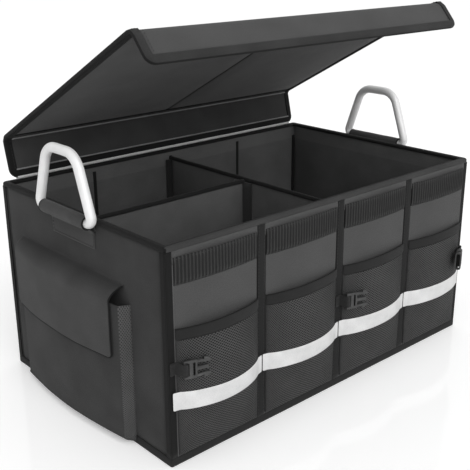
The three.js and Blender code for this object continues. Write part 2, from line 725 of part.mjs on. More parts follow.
// Keyhole section: the fabric goes round the tube and its two layers lie on the wall as a sewn patch
function handleSleeve(side) {
  const face = width / 2 + gap;
  const axisX = width / 2 + handleAxisOut;
  const inner = handleTubeRadius + sleeveRunningGap;
  const outer = inner + sleeveThickness;
  const ring = new THREE.Shape();
  ring.absarc(side * axisX, handleAxisHeight, outer, 0, 2 * PI, false);
  const roll = extrudeAlongY(ring, handleCentre - sleeveHalfLength, handleCentre + sleeveHalfLength, 24);
  const bore = new THREE.Shape();
  bore.absarc(side * axisX, handleAxisHeight, inner, 0, 2 * PI, false);
  const hole = extrudeAlongY(bore, -width, width, 24);
  const patchThickness = 2 * sleeveThickness;
  const patch = boxBetween(Math.min(side * face, side * (face + patchThickness)),
    Math.max(side * face, side * (face + patchThickness)), handleCentre - patchHalfLength,
    handleCentre + patchHalfLength, patchBottom, patchTop);
  const neckBottom = patchTop - neckOverlap;
  const rollBottom = handleAxisHeight - inner - sleeveThickness / 2;
  const neck = shapeOf([
    [side * face, neckBottom], [side * (face + patchThickness), neckBottom],
    [side * axisX, rollBottom], [side * (axisX - neckReach), rollBottom + sleeveThickness],
  ]);
  const web = extrudeAlongY(neck, handleCentre - sleeveHalfLength, handleCentre + sleeveHalfLength);
  return cut(join(roll, patch, web), hole);
}

function addHandles() {
  for (const [side, name] of [[-1, 'left'], [1, 'right']]) {
    addPiece(`handle_sleeve_${name}`, handleSleeve(side), fabric);
    const tube = addPiece(`handle_${name}`, handleTube(), metal);
    tube.position.set(side * (width / 2 + handleAxisOut), handleCentre, handleAxisHeight);
  }
}

// Dividers: bound boards with folded tabs that cling to the walls

function divider(top, tabs) {
  const half = dividerThickness / 2;
  const bound = half + dividerBindingThickness;
  const bottom = wallBottom + baseBoardThickness + gap;
  const lip = top - dividerBindingHeight;
  const profile = shapeOf([
    [-half, bottom], [half, bottom], [half, lip], [bound, lip], [bound, top - 2], [bound - 1, top],
    [-bound + 1, top], [-bound, top - 2], [-bound, lip], [-half, lip],
  ]);
  const [start, end] = tabs;
  const body = extrudeAlongY(profile, start, end);
  const tab = (y0) => boxBetween(-dividerTabWidth, dividerTabWidth, y0, y0 + dividerTabThickness, bottom, top - 4);
  return join(body, tab(start), tab(end - dividerTabThickness));
}

function addDividers() {
  const clear = wallThickness + padDepth + gap;
  const halfRun = depth / 2 - clear;
  const long = divider(dividerTop, [-halfRun, halfRun]).translate(longDividerX, 0, 0);
  addPiece('long_divider', long, lining);
  const fromWall = leftFace + clear;
  const toLong = longDividerX - dividerThickness / 2 - dividerBindingThickness - gap;
  const cross = divider(dividerTop - crossDividerDrop, [fromWall, toLong])
    .rotateZ(-PI / 2).translate(0, crossDividerY, 0);
  addPiece('cross_divider', cross, lining);
}

// Lid: drawn shut, with its hinge line at the origin, then opened about it

const lidFold = {
  rear: [lidRearSkirt * -cos(lidRearFold), lidRearSkirt * sin(lidRearFold)],
};
lidFold.front = [lidFold.rear[0] - lidPanelLength, lidFold.rear[1]];
lidFold.end = [
  lidFold.front[0] - lidFrontSkirt * cos(lidFrontFold), lidFold.front[1] - lidFrontSkirt * sin(lidFrontFold)];

// Centre line of the lid's section from the hinge over both folds, as [y, z] points
function lidLine() {
  const points = [[0, 0]];
  const bend = (before, corner, after) => {
    const back = unit(corner, before);
    const ahead = unit(corner, after);
    const half = Math.acos(back[0] * ahead[0] + back[1] * ahead[1]) / 2;
    const setback = lidBend / tan(half);
    const centreRun = lidBend / sin(half);
    const middle = unit([0, 0], [back[0] + ahead[0], back[1] + ahead[1]]);
    const centre = [corner[0] + middle[0] * centreRun, corner[1] + middle[1] * centreRun];
    const from = [corner[0] + back[0] * setback, corner[1] + back[1] * setback];
    const to = [corner[0] + ahead[0] * setback, corner[1] + ahead[1] * setback];
    const start = atan2(from[1] - centre[1], from[0] - centre[0]);
    const end = atan2(to[1] - centre[1], to[0] - centre[0]);
    const sweep = atan2(sin(end - start), cos(end - start));
    const steps = 5;
    for (let i = 0; i <= steps; i += 1) {
      const angle = start + (sweep * i) / steps;
      points.push([centre[0] + lidBend * cos(angle), centre[1] + lidBend * sin(angle)]);
    }
  };
  bend([0, 0], lidFold.rear, lidFold.front);
  points.push([lidFold.rear[0] - lidPanelStart, lidFold.rear[1]]);
  points.push([lidFold.front[0] + lidPanelStart, lidFold.front[1]]);
  bend(lidFold.rear, lidFold.front, lidFold.end);
  points.push(lidFold.end);
  return points;
}

function unit(from, to) {
  const run = hypot(to[0] - from[0], to[1] - from[1]);
  return [(to[0] - from[0]) / run, (to[1] - from[1]) / run];
}

// A band round part of the lid's line, as [y, z] points, `half` its thickness to each side
function lidBand(line, half) {
  const side = (sign) => line.map((point, i) => {
    const before = line[Math.max(0, i - 1)];
    const after = line[Math.min(line.length - 1, i + 1)];
    const [ty, tz] = unit(before, after);
    return [point[0] + sign * half * tz, point[1] - sign * half * ty];
  });
  return [...side(1), ...side(-1).reverse()];
}

// The same line with both ends moved out by `amount`
function lengthened(line, amount) {
  const moved = (end, next) => {
    const [y, z] = unit(next, end);
    return [end[0] + y * amount, end[1] + z * amount];
  };
  const last = line.length - 1;
  return [moved(line[0], line[1]), ...line.slice(1, last), moved(line[last], line[last - 1])];
}

function addLid() {
  const lid = new THREE.Group();
  lid.position.set(0, depth / 2 - lidHingeInset, height + gap + lidThickness / 2 + lidEdgeThickness + gap);
  lid.rotation.x = -lidOpenAngle;
  organizer.add(lid);
  const line = lidLine();
  const half = lidThickness / 2;
  const seamRear = line.findIndex(([y]) => abs(y - (lidFold.rear[0] - lidPanelStart)) < 1e-6);
  const edgeX = lidHalfWidth - lidEdgeThickness - gap;
  const slab = (points, x0, x1) => extrudeAlongX(shapeOf(lidBand(points, half)), x0, x1);
  const wrapped = half + gap + lidEdgeThickness;
  const roll = (x0, x1) => new THREE.CylinderGeometry(wrapped, wrapped, x1 - x0, 12)
    .rotateZ(PI / 2).translate((x0 + x1) / 2, 0, 0);
  const rollX = lidHalfWidth - lidEdgeWidth - gap;
  const rearLine = line.slice(0, seamRear + 1);
  const frontLine = line.slice(seamRear + 1);
  const panelLine = [
    [line[seamRear][0] - gap, line[seamRear][1]], [line[seamRear + 1][0] + gap, line[seamRear + 1][1]]];
  // The rear skirt's lower hem is rolled: it lies on the rim, where it is sewn, and turns there
  addPiece('lid_rear_skirt', join(slab(rearLine, -edgeX, edgeX), roll(-rollX, rollX)), fabric, lid);
  addPiece('lid_panel_left', slab(panelLine, -edgeX, -lidFoldGap / 2), fabric, lid);
  addPiece('lid_panel_right', slab(panelLine, lidFoldGap / 2, edgeX), fabric, lid);
  addPiece('lid_front_skirt', slab(frontLine, -edgeX, edgeX), pocketFabric, lid);
  const stripBottom = panelLine[0][1] + half + gap;
  addPiece('lid_fold_strip', boxBetween(-lidStripWidth / 2, lidStripWidth / 2, panelLine[1][0] + gap,
    panelLine[0][0] - gap, stripBottom, stripBottom + lidStripThickness), binding, lid);
  for (const [side, name] of [[-1, 'left'], [1, 'right']]) {
    const span = (a, b) => (side > 0 ? [a, b] : [-b, -a]);
    const ends = span(lidHalfWidth - lidEdgeWidth, lidHalfWidth);
    const sleeve = join(extrudeAlongX(shapeOf(lidBand(line, wrapped)), ...ends), roll(...ends));
    const longer = lengthened(line, half);
    const hollow = extrudeAlongX(shapeOf(lidBand(longer, half + gap)),
      ...span(lidHalfWidth - lidEdgeWidth - 1, edgeX + gap));
    addPiece(`lid_binding_${name}`, cut(sleeve, hollow), binding, lid);
  }
}

addWalls();
addBindings();
addFrontPockets();
addBuckles();
addSidePocket();
addHandles();
addDividers();
addLid();

export default organizer;
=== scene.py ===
# Collapsible car trunk organizer: its fabric, bindings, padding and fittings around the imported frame.
# Sizes are in millimetres and go to metres when a piece is finished.
# +X runs along the pocket front, -Y is the front, +Z is up.
import math

import bmesh
import bpy
from mathutils import Matrix, Vector, noise


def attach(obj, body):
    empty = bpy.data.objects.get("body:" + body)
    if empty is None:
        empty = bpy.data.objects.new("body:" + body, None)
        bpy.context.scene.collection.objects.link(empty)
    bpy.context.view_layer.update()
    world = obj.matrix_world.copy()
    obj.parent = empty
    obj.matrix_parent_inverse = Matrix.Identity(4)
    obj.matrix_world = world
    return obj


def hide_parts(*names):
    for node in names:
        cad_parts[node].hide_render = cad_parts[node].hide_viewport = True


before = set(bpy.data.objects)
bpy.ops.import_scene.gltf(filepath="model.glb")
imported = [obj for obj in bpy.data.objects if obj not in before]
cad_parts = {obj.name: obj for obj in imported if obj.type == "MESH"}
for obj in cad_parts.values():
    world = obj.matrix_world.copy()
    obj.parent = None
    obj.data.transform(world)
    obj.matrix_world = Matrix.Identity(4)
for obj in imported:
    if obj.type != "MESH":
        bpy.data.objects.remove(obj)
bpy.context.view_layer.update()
scene = bpy.context.scene
MM = 0.001
BOX = "organizer_box"

# Camera, its angles in degrees and its place in metres
CAMERA_ANGLES = (-42.02, 19.43, -0.36)
CAMERA_PLACE = (-0.83488, -0.90274, 0.61835)
CAMERA_LENS = 64.38
CAMERA_SENSOR = 36

# Light: name, strength, spread and turn of each sun
ROOM_LIGHT = 0.68
FLOOR_GLOW = 0.27
SUNS = (
    ("key", 1.05, 40, (54, -12, -6)),
    ("fill", 0.35, 70, (60, -60, 0)),
)

# Box
HALF_WIDTH = 300.0
HALF_DEPTH = 190.0
HEIGHT = 290.0
WALL = 7.0
WALL_BOTTOM = 4.3
WALL_TOP = 288.5
GAP = 0.3
TAPE = 1.2
BOTTOM_TAPE_TOP = 12.3
RIM_LIP_OUTSIDE = 6.0
RIM_LIP_INSIDE = 5.0
CORNER_TAPE = 8.5
SEAM_TAPE = 13.0
SEAM_TAPE_THICKNESS = 1.5
BASE_TAPE_BOTTOM = 1.0
BASE_TAPE_WIDTH = 11.0
LINING_HEM_BOTTOM = 262.0
BORDER_BOTTOM = 268.0
BORDER_WIDTH = 16.5
INNER_SEAM_BOTTOM = 8.0
INNER_SEAM_WIDTH = 6.0
INNER_SEAM_RUN = 270.0

# Sewing and padding
STITCH_PITCH = 4.6
STITCH_SIZE = (1.55, 0.42, 0.42)
SWELL_STEPS = 20
HELD_SHARE = 0.55

# Front pockets
BAYS = 4
BAY = 2 * HALF_WIDTH / BAYS
POCKET_BOTTOM = 14.0
POCKET_TOP = 276.0
POCKET_THICKNESS = 1.5
POCKET_MOUTH_DEPTH = 4.4
POCKET_BELLY_DEPTH = 1.6
POUCH_RISE = 0.6
POUCH_ROUNDNESS = 0.7
ELASTIC_BOTTOM = 242.0
RIB_PITCH = 5.0
NET_TOP = 187.0
NET_HEM = 14.0
NET_LIFT = 2.1
NET_THICKNESS = 1.2
NET_HEM_THICKNESS = 2.0
NET_MOUTH_DEPTH = 11.5
NET_BELLY_DEPTH = 13.0
RIB_HEIGHT = 1.3
REFLECTOR_BOTTOM = 80.0
REFLECTOR_TOP = 105.0
REFLECTOR_LIFT = 1.5
REFLECTOR_THICKNESS = 0.8
NET_FILL = (1.12, 0.95, 0.85, 0.8)

# Buckles
BUCKLE_HEIGHT = 136.0
WEBBING = 16.0
WEBBING_LOOP = 3.55
BUCKLE_EDGE = 0.35

# Side pocket
SIDE_FRONT = -118.0
SIDE_BACK = 137.0
SIDE_BOTTOM = 5.0
SIDE_TOP = 197.0
SIDE_GUSSET = 13.0
SIDE_BELLY = 12.0
SIDE_STEEPNESS = 0.028
FLAP_SEAM = 225.0
FLAP_SEWN = 7.0
FLAP_EDGE = 123.0
FLAP_SHOULDER = 16.0
FLAP_FRONT = -99.0
FLAP_BACK = 139.0

# Handles
TUBE_RADIUS = 6.75
HANDLE_OUT = 11.3
HANDLE_HEIGHT = 287.5
HANDLE_CENTRE = 2.0
HANDLE_HALF = 60.5
HANDLE_RISE = 84.5
HANDLE_BASE_RADIUS = 8.0
HANDLE_TOP_RADIUS = 28.0
HANDLE_TOP_RUN = 14.0
PATCH_BOTTOM = 250.0
PATCH_TOP = 275.0
SLEEVE_HALF = 50.0
SLEEVE_LIP = 51.6
PATCH_SEWN = 48.0

# Dividers
DIVIDER_BOTTOM = 7.6
LONG_TOP = 277.0
CROSS_TOP = 275.0
DIVIDER_HALF = 2.5
DIVIDER_RUN = 181.1
DIVIDER_BINDING = 4.5
LONG_TAB_HALF = 12.0
CROSS_TAB_HALF = 20.0

# Lid, drawn shut from its hinge line and opened about it
LID_HALF_WIDTH = 290.0
LID_THICKNESS = 4.0
LID_REAR = 58.0
LID_PANEL = 371.0
LID_FRONT = 46.0
LID_REAR_FOLD = math.radians(75)
LID_FRONT_FOLD = math.radians(78)
LID_OPEN = math.radians(28.2)
LID_HINGE = Vector((0, 185, 293.6))
LID_BEND = 9.0
LID_BINDING = 10.0
LID_STRIP_HALF = 15.0
HEM_ROLL_HALF = 280.0
HEM_ROLL_RADIUS = 2.9


# Camera and light

def set_camera():
    azimuth, elevation, roll = (math.radians(a) for a in CAMERA_ANGLES)
    back = Vector((
        math.sin(azimuth) * math.cos(elevation),
        -math.cos(azimuth) * math.cos(elevation),
        math.sin(elevation),
    ))
    data = bpy.data.cameras.new("photo_camera")
    data.lens = CAMERA_LENS
    data.sensor_width = CAMERA_SENSOR
    data.clip_start = 0.05
    data.clip_end = 100
    camera = bpy.data.objects.new("photo_camera", data)
    turn = (-back).to_track_quat("-Z", "Y").to_matrix() @ Matrix.Rotation(roll, 3, "Z")
    camera.matrix_world = Matrix.LocRotScale(Vector(CAMERA_PLACE), turn, None)
    scene.collection.objects.link(camera)
    scene.camera = camera


def set_light():
    scene.view_settings.view_transform = "Standard"
    world = bpy.data.worlds.new("studio")
    scene.world = world
    world.use_nodes = True
    tree = world.node_tree
    tree.nodes.clear()
    out = tree.nodes.new("ShaderNodeOutputWorld")
    room = tree.nodes.new("ShaderNodeBackground")
    room.inputs["Strength"].default_value = ROOM_LIGHT
    white = tree.nodes.new("ShaderNodeBackground")
    white.inputs["Color"].default_value = (1, 1, 1, 1)
    room.inputs["Color"].default_value = (1, 1, 1, 1)
    ray = tree.nodes.new("ShaderNodeLightPath")
    mix = tree.nodes.new("ShaderNodeMixShader")
    tree.links.new(ray.outputs["Is Camera Ray"], mix.inputs[0])
    tree.links.new(room.outputs[0], mix.inputs[1])
    tree.links.new(white.outputs[0], mix.inputs[2])
    tree.links.new(mix.outputs[0], out.inputs[0])
    for name, strength, spread, turn in SUNS:
        light = bpy.data.lights.new(name, "SUN")
        light.energy = strength
        light.angle = math.radians(spread)
        lamp = bpy.data.objects.new(name, light)
        lamp.rotation_euler = [math.radians(a) for a in turn]
        scene.collection.objects.link(lamp)


# Node materials

def linear(level):
    share = level / 255
    return share / 12.92 if share <= 0.04045 else ((share + 0.055) / 1.055) ** 2.4


def shade(level):
    """A grey of that written level."""
    grey = linear(level)
    return (grey, grey, grey, 1)


class Finish:
    """One material: its shader, and the nodes that feed it."""

    def __init__(self, name, roughness=0.85, specular=0.2, sheen=0.0, metallic=0.0):
        self.material = bpy.data.materials.new(name)
        self.material.use_nodes = True
        self.tree = self.material.node_tree
        self.shader = self.tree.nodes["Principled BSDF"]
        self.shader.inputs["Roughness"].default_value = roughness
        self.shader.inputs["Specular IOR Level"].default_value = specular
        self.shader.inputs["Sheen Weight"].default_value = sheen
        self.shader.inputs["Sheen Roughness"].default_value = 0.5
        self.shader.inputs["Metallic"].default_value = metallic

    def node(self, kind, values=None, **settings):
        made = self.tree.nodes.new("ShaderNode" + kind)
        for name, value in settings.items():
            setattr(made, name, value)
        for name, value in (values or {}).items():
            if isinstance(value, bpy.types.NodeSocket):
                self.tree.links.new(value, made.inputs[name])
            else:
                made.inputs[name].default_value = value
        return made

    def place(self, on_cloth, turn=0.0):
        source = self.node("TexCoord").outputs["UV" if on_cloth else "Object"]
        if not turn:
            return source
        return self.node("Mapping", {"Vector": source, "Rotation": (0, 0, turn)}).outputs[0]

    def bands(self, place, pitch, axis):
        scale = math.pi / 10 / (pitch * MM)
        return self.node("TexWave", {"Vector": place, "Scale": scale}, bands_direction=axis).outputs["Fac"]

    def cloud(self, place, size, detail=3.0):
        return self.node(
            "TexNoise", {"Vector": place, "Scale": 1 / (size * MM), "Detail": detail}).outputs["Fac"]

    def math(self, operation, a, b):
        made = self.node("Math", operation=operation)
        for i, value in enumerate((a, b)):
            if isinstance(value, bpy.types.NodeSocket):
                self.tree.links.new(value, made.inputs[i])
            else:
                made.inputs[i].default_value = value
        return made.outputs[0]

    def ramp(self, amount, stops):
        made = self.node("ValToRGB", {"Fac": amount})
        steps = made.color_ramp.elements
        while len(steps) < len(stops):
            steps.new(0.5)
        for step, (position, colour) in zip(steps, stops):
            step.position = position
            step.color = colour
        return made.outputs["Color"]

    def multiply(self, colour, other):
        made = self.node("Mix", data_type="RGBA", blend_type="MULTIPLY")
        made.inputs[0].default_value = 1.0
        self.tree.links.new(colour, made.inputs[6])
        self.tree.links.new(other, made.inputs[7])
        return made.outputs[2]

    def colour(self, socket):
        self.tree.links.new(socket, self.shader.inputs["Base Color"])

    def roughness(self, amount, low, high):
        spread = self.node("MapRange", {"Value": amount, "To Min": low, "To Max": high})
        self.tree.links.new(spread.outputs[0], self.shader.inputs["Roughness"])

    def bump(self, height, depth, strength=1.0, under=None):
        values = {"Height": height, "Distance": depth * MM, "Strength": strength}
        if under is not None:
            values["Normal"] = under
        made = self.node("Bump", values)
        self.tree.links.new(made.outputs[0], self.shader.inputs["Normal"])
        return made.outputs[0]


def woven(name, level, pitch=0.8, depth=0.12, spread=7, sheen=0.06, painted_shade_band=None):
    """Plain woven polyester: crossing threads, soft blotches, a little rubbed dust and perhaps a band of
    painted shade.

    The painted shade band is a darker band across the cloth that stands in for shadow, by its start, darkest
    place and end along it."""
    finish = Finish(name, sheen=sheen)
    place = finish.place(True)
    warp = finish.bands(place, pitch, "X")
    weft = finish.bands(place, pitch * 1.1, "Y")
    threads = finish.math("MULTIPLY", warp, weft)
    blotch = finish.cloud(place, 60, 4)
    fine = finish.cloud(place, 1.6, 2)
    base = finish.ramp(blotch, [(0.3, shade(level - spread)), (0.7, shade(level + spread))])
    dust = finish.ramp(fine, [(0.3, shade(225)), (0.75, shade(255))])
    weave = finish.ramp(threads, [(0.0, shade(205)), (0.8, shade(255))])
    worn = finish.multiply(finish.multiply(base, dust), weave)
    # Painted shade: a darker band across the cloth, by its UV height, stands in for shadow; the ramp folded
    # carries it into worn.
    if painted_shade_band:
        along = finish.node("SeparateXYZ", {"Vector": place}).outputs["Y"]
        start, middle, end = painted_shade_band
        limits = {"Value": along, "From Min": start * MM, "From Max": end * MM}
        share = finish.node("MapRange", limits).outputs[0]
        peak = (middle - start) / (end - start)
        folded = finish.ramp(share, [(0.0, shade(255)), (peak, shade(188)), (1.0, shade(235))])
        worn = finish.multiply(worn, folded)
    finish.colour(worn)
    finish.roughness(fine, 0.74, 0.95)
    soft = finish.bump(blotch, 0.6, 0.35)
    finish.bump(threads, depth, 0.6, soft)
    return finish.material


def taped(name, level, pitch=1.1):
    """Grosgrain binding tape: fine ribs across it, with fainter cross threads."""
    finish = Finish(name, specular=0.22, sheen=0.05)
    place = finish.place(True)
    ribs = finish.bands(place, pitch, "X")
    cross = finish.bands(place, pitch * 0.7, "Y")
    fine = finish.cloud(place, 3, 3)
    base = finish.ramp(ribs, [(0.0, shade(level - 8)), (0.7, shade(level + 4))])
    worn = finish.ramp(fine, [(0.35, shade(215)), (0.7, shade(255))])
    finish.colour(finish.multiply(base, worn))
    finish.roughness(fine, 0.7, 0.92)
    finish.bump(finish.math("ADD", ribs, finish.math("MULTIPLY", cross, 0.4)), 0.15, 0.8)
    return finish.material


def netting(name, thread, hole, pitch, depth):
    """Knitted netting: diagonal threads over dark holes."""
    finish = Finish(name, specular=0.25)
    place = finish.place(True, math.radians(45))
    one = finish.bands(place, pitch, "X")
    other = finish.bands(place, pitch, "Y")
    threads = finish.math("MAXIMUM", one, other)
    knots = finish.math("MULTIPLY", one, other)
    strands = finish.bands(place, pitch / 6, "Y")
    height = finish.math("ADD", threads, finish.math("MULTIPLY", knots, 0.5))
    base = finish.ramp(threads, [(0.55, shade(hole)), (0.84, shade(thread))])
    twist = finish.ramp(strands, [(0.0, shade(215)), (0.6, shade(255))])
    blotch = finish.ramp(finish.cloud(finish.place(True), 45, 3), [(0.3, shade(228)), (0.7, shade(255))])
    finish.colour(finish.multiply(finish.multiply(base, twist), blotch))
    finish.roughness(threads, 0.95, 0.62)
    finish.bump(height, depth, 0.9)
    return finish.material


def ribbed(name, level):
    """Elastic gathered into ribs, with painted shade: a darker stripe once per rib stands in for the shadow
    in the valleys. Its map counts ribs along U.
    """
    finish = Finish(name, specular=0.2, sheen=0.04)
    place = finish.place(True)
    wave = finish.bands(place, 1 / MM, "X")
    fine = finish.cloud(place, 400, 3)
    # Painted shade: the rib bands darken the colour once per rib, as the valleys' shadow.
    base = finish.ramp(wave, [(0.1, shade(level - 22)), (0.75, shade(level + 8))])
    finish.colour(finish.multiply(base, finish.ramp(fine, [(0.3, shade(222)), (0.7, shade(255))])))
    finish.roughness(fine, 0.75, 0.92)
    finish.bump(fine, 0.3, 0.3)
    return finish.material


def reflective(name):
    """Silver safety tape: glass beads under a pale film, with faint wrinkles."""
    finish = Finish(name, roughness=0.42, specular=0.45)
    place = finish.place(True)
    beads = finish.node("TexVoronoi", {"Vector": place, "Scale": 1400.0}).outputs["Distance"]
    cloud = finish.cloud(place, 30, 2)
    base = finish.ramp(cloud, [(0.3, shade(222)), (0.7, shade(243))])
    finish.colour(finish.multiply(base, finish.ramp(beads, [(0.0, shade(255)), (0.9, shade(236))])))
    finish.roughness(cloud, 0.36, 0.5)
    finish.bump(cloud, 0.5, 0.25, finish.bump(beads, 0.06, 0.4))
    return finish.material


def satin_metal(name):
    """Clear anodised aluminium tube: bead-blasted, with faint handling marks."""
    finish = Finish(name, roughness=0.34, specular=0.5, metallic=0.12)
    place = finish.place(False)
    grain = finish.cloud(place, 0.5, 2)
    marks = finish.cloud(place, 22, 5)
    finish.colour(finish.ramp(marks, [(0.3, shade(240)), (0.72, shade(250))]))
    finish.roughness(marks, 0.3, 0.44)
    finish.bump(grain, 0.04, 0.5)
    return finish.material


def moulded(name):
    """Moulded acetal: fine spark-eroded texture and softly polished edges."""
    finish = Finish(name, roughness=0.42, specular=0.5)
    place = finish.place(False)
    grain = finish.cloud(place, 0.45, 3)
    haze = finish.cloud(place, 9, 3)
    finish.colour(finish.ramp(haze, [(0.3, shade(54)), (0.7, shade(68))]))
    finish.roughness(haze, 0.36, 0.55)
    finish.bump(grain, 0.05, 0.7)
    return finish.material


def hooked(name, level):
    """Loop side of hook-and-loop tape."""
    finish = Finish(name, specular=0.1, sheen=0.25)
    place = finish.place(True)
    loops = finish.cloud(place, 0.9, 4)
    finish.colour(finish.ramp(loops, [(0.3, shade(level - 10)), (0.7, shade(level + 10))]))
    finish.bump(loops, 0.5, 0.9)
    return finish.material


def sewing_thread(name, level):
    finish = Finish(name, roughness=0.7, specular=0.3)
    place = finish.place(False)
    twist = finish.cloud(place, 0.6, 2)
    finish.colour(finish.ramp(twist, [(0.3, shade(level - 10)), (0.7, shade(level + 10))]))
    finish.bump(twist, 0.1, 0.6)
    return finish.material


def studio_floor():
    finish = Finish("studio_floor", roughness=0.06, specular=0.3)
    place = finish.place(False)
    haze = finish.cloud(place, 900, 2)
    finish.colour(finish.ramp(haze, [(0.2, (0.95, 0.95, 0.95, 1)), (0.8, (0.97, 0.97, 0.97, 1))]))
    seen = finish.node("LightPath").outputs["Is Camera Ray"]
    finish.shader.inputs["Emission Color"].default_value = (1, 1, 1, 1)
    glow = finish.math("MULTIPLY", seen, FLOOR_GLOW)
    finish.tree.links.new(glow, finish.shader.inputs["Emission Strength"])
    return finish.material


# Meshes

def finished(name, mesh_maker, body, materials, stands_for=(), sharp=math.radians(40)):
    """A piece from its bmesh in millimetres: in metres, smooth, on its body, with the parts it stands for
    hidden.
    """
    mesh_maker.transform(Matrix.Scale(MM, 4))
    mesh = bpy.data.meshes.new(name)
    mesh_maker.to_mesh(mesh)
    mesh_maker.free()
    mesh.shade_smooth()
    mesh.set_sharp_from_angle(angle=sharp)
    piece = bpy.data.objects.new(name, mesh)
    scene.collection.objects.link(piece)
    for material in materials:
        mesh.materials.append(material)
    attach(piece, body)
    if stands_for:
        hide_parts(*stands_for)
    return piece


def cloth_grid(surface, columns, rows, flat):
    """A grid laid on surface(u, v), with a UV map in metres of flat cloth."""
    cloth = bmesh.new()
    bmesh.ops.create_grid(cloth, x_segments=columns, y_segments=rows, size=0.5)
    layer = cloth.loops.layers.uv.new("UVMap")
    wide, tall = flat
    for face in cloth.faces:
        for loop in face.loops:
            point = loop.vert.co
            loop[layer].uv = ((point.x + 0.5) * wide, (point.y + 0.5) * tall)
    for vert in cloth.verts:
        u = min(1.0, max(0.0, vert.co.x + 0.5))
        v = min(1.0, max(0.0, vert.co.y + 0.5))
        vert.co = Vector(surface(u, v))
    return cloth


def measured(surface):
    """Flat width and length of the cloth in millimetres, along its middle lines."""
    steps = 60
    across = [Vector(surface(i / steps, 0.5)) for i in range(steps + 1)]
    along = [Vector(surface(0.5, i / steps)) for i in range(steps + 1)]
    return [sum((b - a).length for a, b in zip(line, line[1:])) for line in (across, along)]


def solidify(piece, thickness, offset):
    skin = piece.modifiers.new("thickness", "SOLIDIFY")
    skin.thickness = thickness * MM
    skin.offset = offset
    skin.use_even_offset = True


def subdivide(piece, levels=1):
    finer = piece.modifiers.new("finer", "SUBSURF")
    finer.levels = levels
    finer.render_levels = levels


def sewn_sheet(name, surface, columns, rows, thickness, body, material, stands_for=(),
               offset=1.0, smooth=0, flat_uv=None, join_ends=False):
    """One layer of cloth on surface(u, v) with its thickness."""
    wide, tall = measured(surface)
    cloth = cloth_grid(surface, columns, rows, flat_uv or (wide * MM, tall * MM))
    if join_ends:
        bmesh.ops.remove_doubles(cloth, verts=cloth.verts, dist=0.01)
    materials = material if isinstance(material, list) else [material]
    piece = finished(name, cloth, body, materials, stands_for)
    solidify(piece, thickness, offset)
    if smooth:
        subdivide(piece, smooth)
    return piece


def ripple(point, size, amount):
    """A soft unevenness of cloth, the same in each run."""
    return amount * noise.noise(Vector(point) / size)


# Padded pieces: each is a flat slab with its cloth held at the seams, swollen, then put in place

pads = []


def make_pad(name, wide, tall, thick, body, slot, materials, stands_for, place, seams=(), rows_held=(),
             cell=8.5, caps=(1.0, 4.0), outline=None, paint=None, fill=0.5, bottom=0.0, inset=1.2):
    """A slab with its own axes across, up and out: -wide/2 to wide/2, bottom to bottom + tall, 0 to thick."""
    slab = bmesh.new()
    columns = max(4, round(wide / cell))
    rows = max(3, round(tall / cell))
    bmesh.ops.create_grid(slab, x_segments=columns, y_segments=rows, size=0.5)
    for vert in slab.verts:
        across = vert.co.x * wide
        up = bottom + (vert.co.y + 0.5) * tall
        if outline:
            across, up = outline(across, up)
        vert.co = Vector((across, up, 0))
    rim = {(round(v.co.x, 2), round(v.co.y, 2)) for v in slab.verts if v.is_boundary}
    layer = slab.loops.layers.uv.new("UVMap")
    for face in slab.faces:
        for loop in face.loops:
            loop[layer].uv = (loop.vert.co.x * MM, loop.vert.co.y * MM)
    bmesh.ops.solidify(slab, geom=slab.faces[:], thickness=-thick)
    for vert in slab.verts:
        vert.co.z = thick if vert.co.z > thick / 2 or vert.co.z < -thick / 2 else 0.0
    bmesh.ops.recalc_face_normals(slab, faces=slab.faces)
    slab.verts.index_update()
    held = []
    for vert in slab.verts:
        on_rim = (round(vert.co.x, 2), round(vert.co.y, 2)) in rim
        on_seam = any(abs(vert.co.x - x) < cell * HELD_SHARE for x in seams)
        on_row = any(abs(vert.co.y - y) < cell * HELD_SHARE for y in rows_held)
        if on_rim:
            vert.co.z += inset if vert.co.z < thick / 2 else -inset
        if on_rim or on_seam or on_row:
            held.append(vert.index)
    slab.transform(Matrix.Scale(MM, 4))
    mesh = bpy.data.meshes.new(name)
    slab.to_mesh(mesh)
    slab.free()
    piece = bpy.data.objects.new(name, mesh)
    scene.collection.objects.link(piece)
    for material in materials:
        mesh.materials.append(material)
    pads.append({
        "piece": piece, "held": held, "place": place, "thick": thick, "caps": caps, "paint": paint,
        "wide": wide, "tall": tall, "seams": seams, "rows": rows_held, "body": body, "slot": slot,
        "stands_for": stands_for, "fill": fill, "bottom": bottom})


def swell_by_cloth():
    """Steps the cloth of all pads at once, each under its own air pressure."""
    for pad in pads:
        piece = pad["piece"]
        group = piece.vertex_groups.new(name="sewn")
        group.add(pad["held"], 1.0, "REPLACE")
        cloth = piece.modifiers.new("swelling", "CLOTH")
        cloth.settings.quality = 4
        cloth.settings.mass = 0.3
        cloth.settings.tension_stiffness = 12
        cloth.settings.compression_stiffness = 12
        cloth.settings.shear_stiffness = 6
        cloth.settings.bending_stiffness = 0.4
        cloth.settings.use_pressure = True
        cloth.settings.uniform_pressure_force = 4
        cloth.settings.effector_weights.gravity = 0
        cloth.settings.vertex_group_mass = "sewn"
        cloth.point_cache.frame_start = 1
        cloth.point_cache.frame_end = SWELL_STEPS
    for step in range(1, SWELL_STEPS + 1):
        scene.frame_set(step)
    graph = bpy.context.evaluated_depsgraph_get()
    swollen = []
    for pad in pads:
        evaluated = pad["piece"].evaluated_get(graph)
        mesh = evaluated.to_mesh()
        swollen.append([vert.co / MM for vert in mesh.vertices])
        evaluated.to_mesh_clear()
    for pad in pads:
        pad["piece"].modifiers.clear()
        pad["piece"].vertex_groups.clear()
    scene.frame_set(1)
    return swollen


